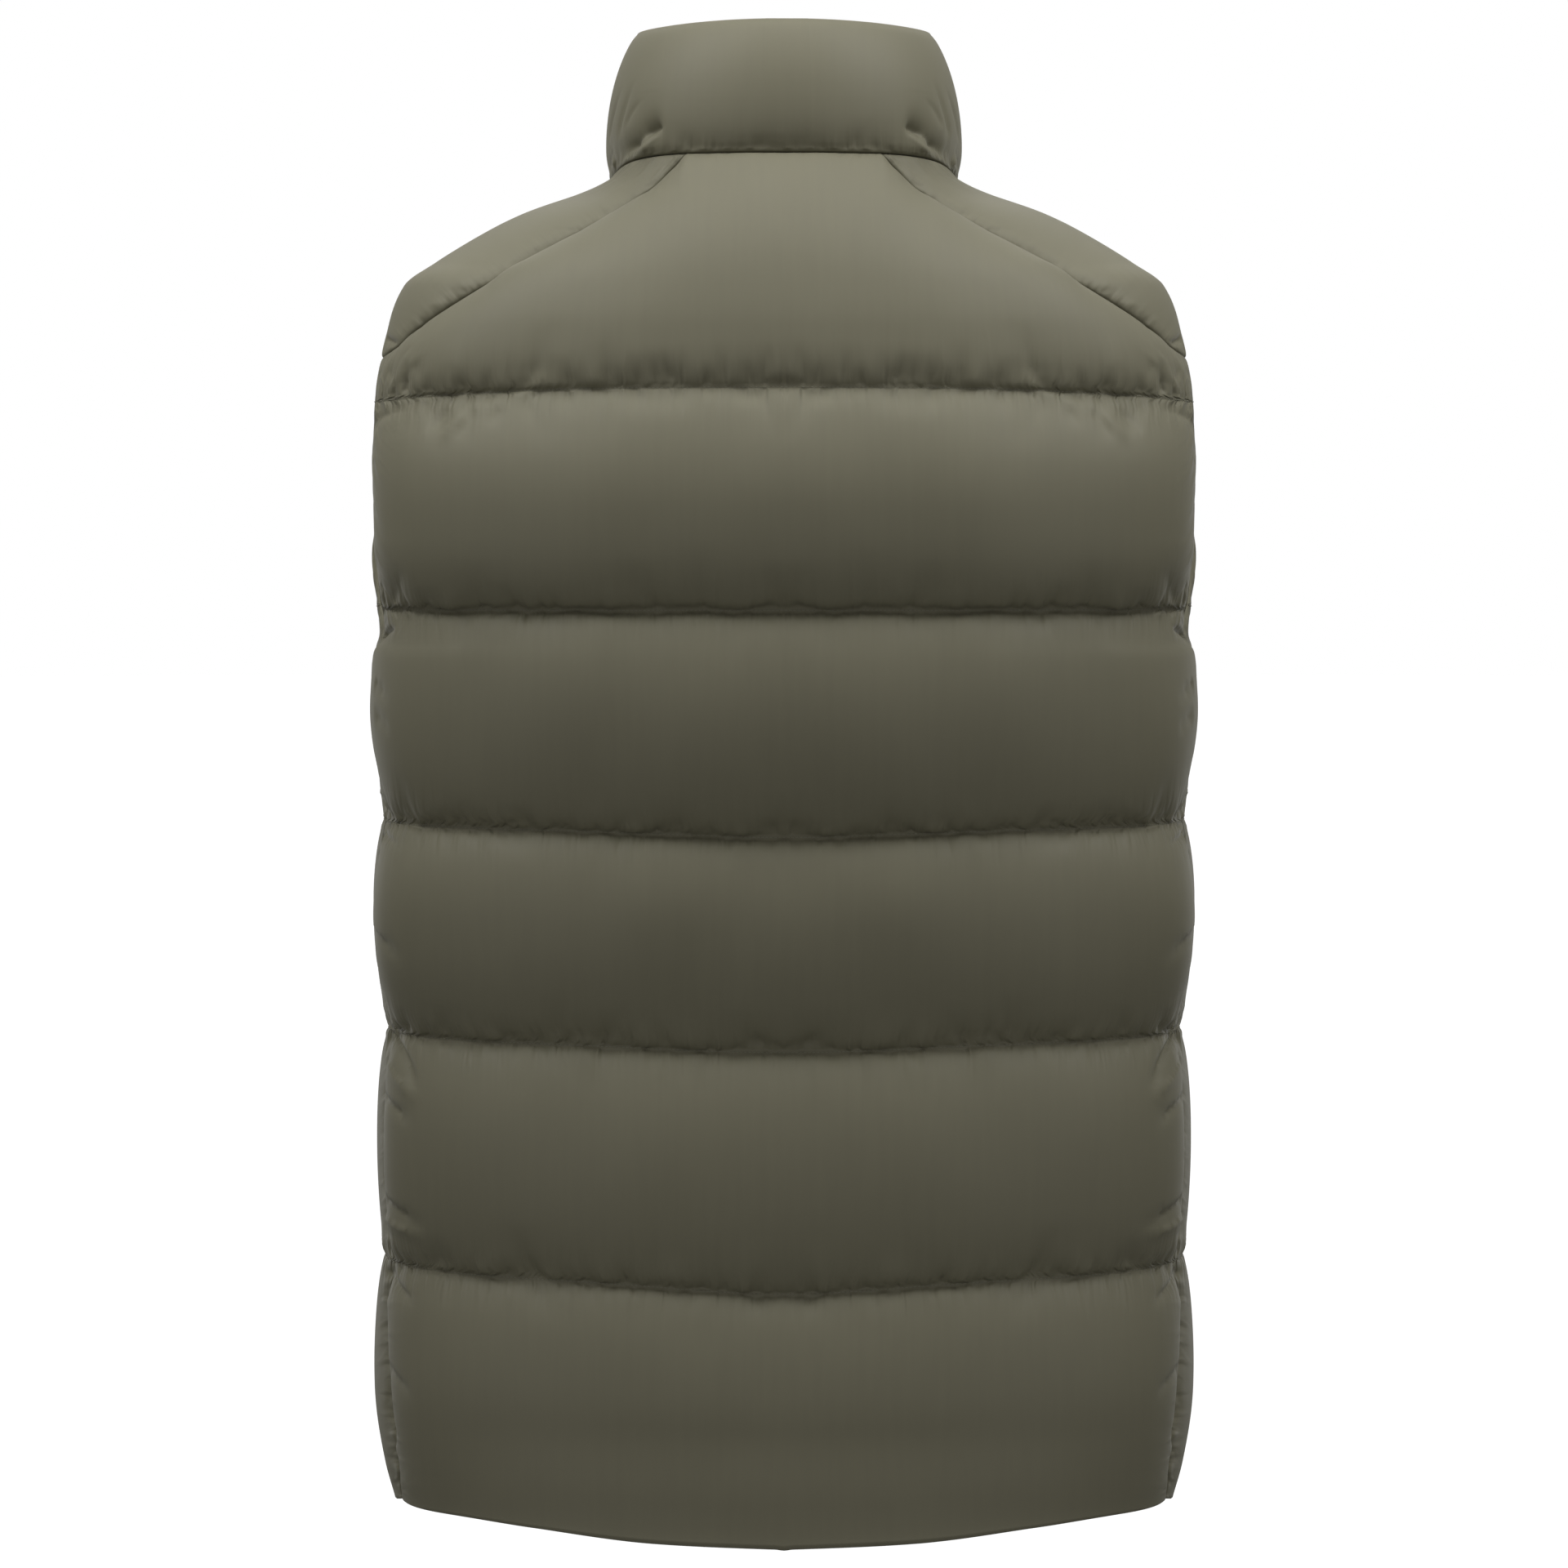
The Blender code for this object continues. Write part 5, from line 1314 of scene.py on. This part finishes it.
def stitch_tree():
    tree = bpy.data.node_groups.new("stitches along a line", "GeometryNodeTree")
    socket(tree, "Line", "INPUT", "NodeSocketGeometry")
    socket(tree, "Step", "INPUT", "NodeSocketFloat", 0.0021)
    socket(tree, "Stitch Size", "INPUT", "NodeSocketVector", (0.0016, 0.0005, 0.0004))
    socket(tree, "Thread", "INPUT", "NodeSocketMaterial")
    socket(tree, "Stitches", "OUTPUT", "NodeSocketGeometry")
    given, result = node(tree, "NodeGroupInput"), node(tree, "NodeGroupOutput")
    curve = node(tree, "GeometryNodeMeshToCurve")
    steps = node(tree, "GeometryNodeResampleCurve", mode="LENGTH")
    bead = node(tree, "GeometryNodeMeshUVSphere")
    bead.inputs["Segments"].default_value, bead.inputs["Rings"].default_value = 6, 4
    bead.inputs["Radius"].default_value = 0.5
    out = node(tree, "GeometryNodeInputNamedAttribute", data_type="FLOAT_VECTOR")
    out.inputs["Name"].default_value = "out"
    along = node(tree, "GeometryNodeInputTangent")
    turn = node(tree, "FunctionNodeAxesToRotation", primary_axis="X", secondary_axis="Z")
    laid = node(tree, "GeometryNodeInstanceOnPoints")
    real, coloured = node(tree, "GeometryNodeRealizeInstances"), node(tree, "GeometryNodeSetMaterial")
    link(tree, given.outputs["Line"], curve.inputs[0])
    link(tree, curve.outputs[0], steps.inputs["Curve"])
    link(tree, given.outputs["Step"], steps.inputs["Length"])
    link(tree, steps.outputs[0], laid.inputs["Points"])
    link(tree, bead.outputs["Mesh"], laid.inputs["Instance"])
    link(tree, along.outputs[0], turn.inputs["Primary Axis"])
    link(tree, out.outputs["Attribute"], turn.inputs["Secondary Axis"])
    link(tree, turn.outputs[0], laid.inputs["Rotation"])
    link(tree, given.outputs["Stitch Size"], laid.inputs["Scale"])
    link(tree, laid.outputs[0], real.inputs[0])
    link(tree, real.outputs[0], coloured.inputs["Geometry"])
    link(tree, given.outputs["Thread"], coloured.inputs["Material"])
    link(tree, coloured.outputs[0], result.inputs[0])
    return tree


def line_mesh(name, lines):
    """A mesh of open lines. Each line is its points and the way out of the cloth at each."""
    points = np.concatenate([line for line, _ in lines])
    outs = np.concatenate([out for _, out in lines])
    edges, start = [], 0
    for line, _ in lines:
        edges += [(start + k, start + k + 1) for k in range(len(line) - 1)]
        start += len(line)
    mesh = bpy.data.meshes.new(name)
    mesh.from_pydata(points.tolist(), edges, [])
    way = mesh.attributes.new("out", "FLOAT_VECTOR", "POINT")
    way.data.foreach_set("vector", outs.astype(np.float32).reshape(-1))
    made = bpy.data.objects.new(name, mesh)
    bpy.context.scene.collection.objects.link(made)
    return made


def grown(name, seed_object, tree, values):
    """Runs a tree on an object, and returns the result as a plain mesh object."""
    nodes = seed_object.modifiers.new("nodes", "NODES")
    nodes.node_group = tree
    items = tree.interface.items_tree
    by_name = {item.name: item.identifier for item in items if item.item_type == "SOCKET"}
    for key, value in values.items():
        nodes[by_name[key]] = value
    result = seed_object.evaluated_get(bpy.context.evaluated_depsgraph_get())
    mesh = bpy.data.meshes.new_from_object(result)
    mesh.name = name
    bpy.data.objects.remove(seed_object)
    made = bpy.data.objects.new(name, mesh)
    bpy.context.scene.collection.objects.link(made)
    print(name, "has", sum(len(p.vertices) - 2 for p in mesh.polygons), "triangles")
    return made


# %% Thread and stitches
STITCH_LIFT = 0.0002
ZIP_STITCH_COLUMN = 7


def thread(name, color):
    made = bpy.data.materials.new(name)
    made.use_nodes = True
    tree = made.node_tree
    shader = tree.nodes["Principled BSDF"]
    place = tree.nodes.new("ShaderNodeTexCoord")
    twist = tree.nodes.new("ShaderNodeTexNoise")
    twist.inputs["Scale"].default_value = 900.0
    link(tree, place.outputs["Object"], twist.inputs["Vector"])
    ramp = tree.nodes.new("ShaderNodeValToRGB")
    ramp.color_ramp.elements[0].color = (*[0.8 * c for c in color], 1.0)
    ramp.color_ramp.elements[1].color = (*[1.15 * c for c in color], 1.0)
    link(tree, twist.outputs["Fac"], ramp.inputs["Fac"])
    link(tree, ramp.outputs["Color"], shader.inputs["Base Color"])
    shader.inputs["Roughness"].default_value = 0.6
    return made


def seam_line(face, row):
    """One row of a finished skin as a line for stitches, just proud of the cloth."""
    out = surface_normals(face)[row]
    return face[row] + out * STITCH_LIFT, out


def with_mirror(lines):
    return lines + [(mirrored(line), mirrored(out)) for line, out in lines]


quilt_lines = [seam_line(skins["back"][0], row) for row in BODY_LINES]
quilt_lines += with_mirror([seam_line(skins["front"][0], row) for row in BODY_LINES])
beside_zip = skins["front"][0][:, ZIP_STITCH_COLUMN]
out_beside_zip = surface_normals(skins["front"][0])[:, ZIP_STITCH_COLUMN]
zip_lines = with_mirror([(beside_zip + out_beside_zip * STITCH_LIFT, out_beside_zip)])
STITCHES = stitch_tree()
THREAD = thread("quilting_thread", (0.185, 0.178, 0.130))
stitches = grown("quilt_stitches", line_mesh("quilt_lines", quilt_lines), STITCHES, {"Thread": THREAD})
LONG_STITCH = {"Thread": THREAD, "Step": 0.0030, "Stitch Size": (0.0023, 0.0005, 0.0004)}
edge_stitches = grown("zip_edge_stitches", line_mesh("zip_edges", zip_lines), STITCHES, LONG_STITCH)
for piece in (stitches, edge_stitches):
    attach(piece, "vest")

# %% [markdown]
# ## The zip
#
# A moulded zip has a row of plastic teeth on each tape. A tooth has a wide foot that grips the
# tape, a narrow neck and a wide head, and the heads of one row sit in the necks of the other. One
# tooth is made from a listed outline, and Geometry Nodes set it at each point of two lines, half a pitch
# apart.
# The slider, its pull and the box at the foot keep the solid model's shape, with softened edges.
# Each woven tape has a bead beside the teeth, and behind them its thin edge almost reaches the
# middle, so that no light shows through.

# %% Teeth, slider, pull and box
TOOTH_PITCH = 0.0026
TOOTH_LEVEL, TOOTH_HALF_HEIGHT, TOOTH_EDGE = 0.0013, 0.0010, 0.00018
TOOTH_OUTLINE = (
    *((3.0, 0.72), (1.6, 0.66), (1.15, 0.40), (0.55, 0.38), (0.20, 0.60), (-0.50, 0.60), (-0.85, 0.32)),
    *((-0.85, -0.32), (-0.50, -0.60), (0.20, -0.60), (0.55, -0.38), (1.15, -0.40)),
    *((1.6, -0.66), (3.0, -0.72)),
)
ZIP_PATH_POINTS = (25, 5)
CHAIN_FROM_HEM, CHAIN_FROM_TOP = 0.0093, 0.0118
TAPE_STEPS = 120
SHARP_CORNER = 0.35
SOFT_METAL, SOFT_PLASTIC = 0.00045, 0.00060
TAPE_OUTLINE = (
    *((0.04, 0.05), (1.45, 0.05), (1.60, 0.60), (1.75, 0.80), (2.15, 0.90), (2.50, 1.05), (8.20, 1.05)),
    *((8.20, 1.55), (2.50, 1.55), (2.15, 1.70), (1.70, 1.80), (1.25, 1.75), (1.10, 1.50)),
    *((1.20, 0.25), (0.04, 0.25)),
)


def soften(shape, width):
    """Rounds every corner of a mesh that is sharper than about 20 degrees."""
    sharp = [edge for edge in shape.edges if edge.is_manifold and edge.calc_face_angle() > SHARP_CORNER]
    bmesh.ops.bevel(
        shape, geom=sharp, offset=width, segments=2, profile=0.5, affect="EDGES", clamp_overlap=True
    )


def mesh_object(name, shape):
    bmesh.ops.recalc_face_normals(shape, faces=shape.faces)
    mesh = bpy.data.meshes.new(name)
    shape.to_mesh(mesh)
    shape.free()
    mesh.shade_smooth()
    mesh.set_sharp_from_angle(angle=math.radians(40))
    made = bpy.data.objects.new(name, mesh)
    bpy.context.scene.collection.objects.link(made)
    return made


def tooth():
    shape = bmesh.new()
    low = [shape.verts.new((x / 1000, y / 1000, -TOOTH_HALF_HEIGHT)) for x, y in TOOTH_OUTLINE]
    high = [shape.verts.new((x / 1000, y / 1000, TOOTH_HALF_HEIGHT)) for x, y in TOOTH_OUTLINE]
    shape.faces.new(low)
    shape.faces.new(high)
    for k in range(len(low)):
        shape.faces.new((low[k - 1], low[k], high[k], high[k - 1]))
    rims = [edge for edge in shape.edges if abs(edge.verts[0].co.z - edge.verts[1].co.z) < 1e-6]
    bmesh.ops.bevel(shape, geom=rims, offset=TOOTH_EDGE, segments=1, affect="EDGES", clamp_overlap=True)
    return mesh_object("tooth", shape)


def teeth_tree():
    tree = bpy.data.node_groups.new("teeth on a line", "GeometryNodeTree")
    socket(tree, "Line", "INPUT", "NodeSocketGeometry")
    socket(tree, "Tooth", "INPUT", "NodeSocketObject")
    socket(tree, "Plastic", "INPUT", "NodeSocketMaterial")
    socket(tree, "Teeth", "OUTPUT", "NodeSocketGeometry")
    given, result = node(tree, "NodeGroupInput"), node(tree, "NodeGroupOutput")
    curve, shape = node(tree, "GeometryNodeMeshToCurve"), node(tree, "GeometryNodeObjectInfo")
    out = node(tree, "GeometryNodeInputNamedAttribute", data_type="FLOAT_VECTOR")
    out.inputs["Name"].default_value = "out"
    along = node(tree, "GeometryNodeInputTangent")
    turn = node(tree, "FunctionNodeAxesToRotation", primary_axis="Y", secondary_axis="Z")
    laid = node(tree, "GeometryNodeInstanceOnPoints")
    real, coloured = node(tree, "GeometryNodeRealizeInstances"), node(tree, "GeometryNodeSetMaterial")
    link(tree, given.outputs["Line"], curve.inputs[0])
    link(tree, given.outputs["Tooth"], shape.inputs["Object"])
    link(tree, curve.outputs[0], laid.inputs["Points"])
    link(tree, shape.outputs["Geometry"], laid.inputs["Instance"])
    link(tree, along.outputs[0], turn.inputs["Primary Axis"])
    link(tree, out.outputs["Attribute"], turn.inputs["Secondary Axis"])
    link(tree, turn.outputs[0], laid.inputs["Rotation"])
    link(tree, laid.outputs[0], real.inputs[0])
    link(tree, real.outputs[0], coloured.inputs["Geometry"])
    link(tree, given.outputs["Plastic"], coloured.inputs["Material"])
    link(tree, coloured.outputs[0], result.inputs[0])
    return tree


def zip_path():
    """Points up the centre front on the inner face, from the hem to the collar's top."""
    heights = np.linspace(HEM, NECK_FRONT_HEIGHT, ZIP_PATH_POINTS[0])
    body = np.stack([0 * heights, -section(heights)[2], heights], axis=-1)
    top = collar_inner[-1, 0] * np.array([0.0, 1.0, 1.0])
    collar = body[-1] + (top - body[-1]) * np.linspace(0, 1, ZIP_PATH_POINTS[1])[1:, None]
    return np.concatenate([body, collar])


def teeth_lines():
    """A line of points for each row of teeth, the right row half a pitch up and upside down."""
    line = zip_path()
    total = np.linalg.norm(np.diff(line, axis=0), axis=1).sum()
    count = int((total - CHAIN_FROM_HEM - CHAIN_FROM_TOP) / TOOTH_PITCH) - 1
    lines = []
    for shift, order in ((0.5, 1), (1.0, -1)):
        at = CHAIN_FROM_HEM + TOOTH_PITCH * (shift + np.arange(count))
        points = resample(line, at / total)
        out = unit(np.cross(np.gradient(points, axis=0), (-1.0, 0.0, 0.0)))
        lines.append(((points + out * TOOTH_LEVEL)[::order], out[::order]))
    return lines


def finish(name, dark, light, metallic, roughness, grain, grain_depth):
    """Moulded plastic or painted metal: cloudy colour, patchy gloss and a fine grain."""
    made = bpy.data.materials.new(name)
    made.use_nodes = True
    tree = made.node_tree
    shader = tree.nodes["Principled BSDF"]
    shader.inputs["Metallic"].default_value = metallic
    place = tree.nodes.new("ShaderNodeTexCoord")
    noises = []
    for scale, detail in ((320.0, 4.0), (1400.0, 2.0), (grain, 3.0)):
        noise = tree.nodes.new("ShaderNodeTexNoise")
        noise.inputs["Scale"].default_value, noise.inputs["Detail"].default_value = scale, detail
        link(tree, place.outputs["Object"], noise.inputs["Vector"])
        noises.append(noise.outputs["Fac"])
    ramp = tree.nodes.new("ShaderNodeValToRGB")
    ramp.color_ramp.elements[0].position, ramp.color_ramp.elements[1].position = 0.35, 0.68
    ramp.color_ramp.elements[0].color, ramp.color_ramp.elements[1].color = (*dark, 1.0), (*light, 1.0)
    link(tree, noises[0], ramp.inputs["Fac"])
    link(tree, ramp.outputs["Color"], shader.inputs["Base Color"])
    gloss = math_node(tree, "MULTIPLY_ADD", noises[1], 0.25)
    gloss.node.inputs[2].default_value = roughness - 0.125
    link(tree, gloss, shader.inputs["Roughness"])
    bumps = tree.nodes.new("ShaderNodeBump")
    bumps.inputs["Strength"].default_value = 0.5
    bumps.inputs["Distance"].default_value = grain_depth
    link(tree, noises[2], bumps.inputs["Height"])
    link(tree, bumps.outputs["Normal"], shader.inputs["Normal"])
    return made


def softened(name, source, width, material):
    """A copy of a solid of the frame with its corners rounded."""
    shape = bmesh.new()
    shape.from_mesh(bpy.data.objects[source].data)
    bmesh.ops.remove_doubles(shape, verts=shape.verts, dist=1e-6)
    bmesh.ops.dissolve_limit(shape, angle_limit=0.02, verts=shape.verts, edges=shape.edges)
    soften(shape, width)
    made = mesh_object(name, shape)
    made.data.materials.append(material)
    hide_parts(source)
    print(name, "has", sum(len(p.vertices) - 2 for p in made.data.polygons), "triangles")
    return made


def tape(name, source, side):
    """A woven tape on one side of the teeth, with the beaded edge that the teeth are moulded on."""
    line = zip_path()
    points = resample(line, np.linspace(0, 1, TAPE_STEPS + 1))
    out = unit(np.cross(np.gradient(points, axis=0), (-1.0, 0.0, 0.0)))
    rings = [points + np.array([side * x / 1000, 0, 0]) + out * level / 1000 for x, level in TAPE_OUTLINE]
    shape = bmesh.new()
    rows = [[shape.verts.new(p) for p in row] for row in np.stack(rings, axis=1)]
    for low, high in zip(rows, rows[1:]):
        for k in range(len(low)):
            shape.faces.new((low[k - 1], low[k], high[k], high[k - 1]))
    shape.faces.new(rows[0])
    shape.faces.new(rows[-1])
    made = mesh_object(name, shape)
    made.data.materials.append(TAPE)
    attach(made, "vest")
    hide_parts(source)
    print(name, "is", round(float(np.linalg.norm(np.diff(line, axis=0), axis=1).sum()), 4), "m long")


PLASTIC = finish("zip_plastic", (0.060, 0.058, 0.044), (0.078, 0.075, 0.056), 0.0, 0.42, 2600.0, 0.00003)
METAL = finish("zip_metal", (0.055, 0.055, 0.054), (0.095, 0.094, 0.090), 0.7, 0.40, 3800.0, 0.00002)
TAPE = cloth("zip_tape", (0.062, 0.060, 0.043), (0.085, 0.082, 0.060), 1500.0, 0.85, 0.1, 0.5)
one_tooth = tooth()
parts = {"Tooth": one_tooth, "Plastic": PLASTIC}
teeth = grown("zip_teeth", line_mesh("teeth_lines", teeth_lines()), teeth_tree(), parts)
bpy.data.objects.remove(one_tooth)
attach(teeth, "vest")
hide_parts("zip_chain")
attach(softened("zip_slider_metal", "zip_slider", SOFT_METAL, METAL), "vest")
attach(softened("zip_box_moulded", "zip_box", SOFT_PLASTIC, PLASTIC), "vest")
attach(softened("zip_pull_metal", "zip_pull", SOFT_METAL, METAL), "pull")
tape("zip_tape_woven_left", "zip_tape_left", 1)
tape("zip_tape_woven_right", "zip_tape_right", -1)

# %% [markdown]
# ## Studio
#
# The photograph looks at the back from below the collar's height, with a long lens. Wide soft
# lamps stand over both shoulders, the back and the front, and dimmer ones low down beside them,
# in a pale room. The floor lies where a wearer's feet would be.

# %% Camera, light and floor
CAMERA_DISTANCE = 2.9
CAMERA_HEIGHT = -0.165
AIM_HEIGHT = -0.3078
LENS_MM, SENSOR_MM = 129.5, 36.0
FLOOR_HEIGHT = -1.45


def look_at(thing, place, aim):
    thing.location = place
    thing.rotation_euler = (Vector(aim) - Vector(place)).to_track_quat("-Z", "Y").to_euler()


camera = bpy.data.objects.new("camera", bpy.data.cameras.new("camera"))
camera.data.lens, camera.data.sensor_width = LENS_MM, SENSOR_MM
bpy.context.scene.collection.objects.link(camera)
look_at(camera, (0.0, CAMERA_DISTANCE, CAMERA_HEIGHT), (0.0, 0.0, AIM_HEIGHT))
bpy.context.scene.camera = camera


def soft_light(name, place, aim, size, power):
    lamp = bpy.data.lights.new(name, "AREA")
    lamp.shape, lamp.size, lamp.energy = "DISK", size, power
    made = bpy.data.objects.new(name, lamp)
    bpy.context.scene.collection.objects.link(made)
    look_at(made, place, aim)
    return made


soft_light("over_left_shoulder", (0.70, 0.35, 0.70), (0.1, 0.05, -0.1), 0.6, 6.2)
soft_light("over_right_shoulder", (-0.70, 0.35, 0.70), (-0.1, 0.05, -0.1), 0.6, 6.2)
soft_light("over_the_back", (0.0, 0.35, 0.90), (0.0, 0.05, -0.20), 0.8, 4.4)
soft_light("over_the_front", (0.0, -0.95, 0.90), (0.0, -0.05, -0.25), 0.8, 6.0)
for side in (1, -1):
    soft_light(f"low_back_{side}", (1.5 * side, 1.9, -0.6), (0.0, 0.05, -0.35), 1.2, 5.0)
    soft_light(f"low_front_{side}", (1.5 * side, -2.0, -0.5), (0.0, -0.05, -0.35), 1.2, 5.0)

world = bpy.data.worlds.new("studio")
bpy.context.scene.world = world
world.use_nodes = True
tree = world.node_tree
light_path = tree.nodes.new("ShaderNodeLightPath")
seen, lit = tree.nodes["Background"], tree.nodes.new("ShaderNodeBackground")
seen.inputs["Color"].default_value = (1.0, 1.0, 1.0, 1.0)
lit.inputs["Color"].default_value = (1.0, 0.99, 0.97, 1.0)
lit.inputs["Strength"].default_value = 0.30
mix = tree.nodes.new("ShaderNodeMixShader")
link(tree, light_path.outputs["Is Camera Ray"], mix.inputs[0])
link(tree, lit.outputs[0], mix.inputs[1])
link(tree, seen.outputs[0], mix.inputs[2])
link(tree, mix.outputs[0], tree.nodes["World Output"].inputs["Surface"])
bpy.context.scene.view_settings.view_transform = "Standard"

FLOOR_RADIUS = 40.0
place = (0, 0, FLOOR_HEIGHT)
bpy.ops.mesh.primitive_circle_add(vertices=64, radius=FLOOR_RADIUS, fill_type="NGON", location=place)
floor = bpy.context.object
floor.name = "floor"
paint = bpy.data.materials.new("floor_paint")
paint.use_nodes = True
shader = paint.node_tree.nodes["Principled BSDF"]
shader.inputs["Base Color"].default_value = (0.30, 0.30, 0.29, 1.0)
shader.inputs["Roughness"].default_value = 0.9
shader.inputs["Emission Color"].default_value = (1.0, 1.0, 1.0, 1.0)
seen_by = paint.node_tree.nodes.new("ShaderNodeLightPath")
link(paint.node_tree, seen_by.outputs["Is Camera Ray"], shader.inputs["Emission Strength"])
floor.data.materials.append(paint)
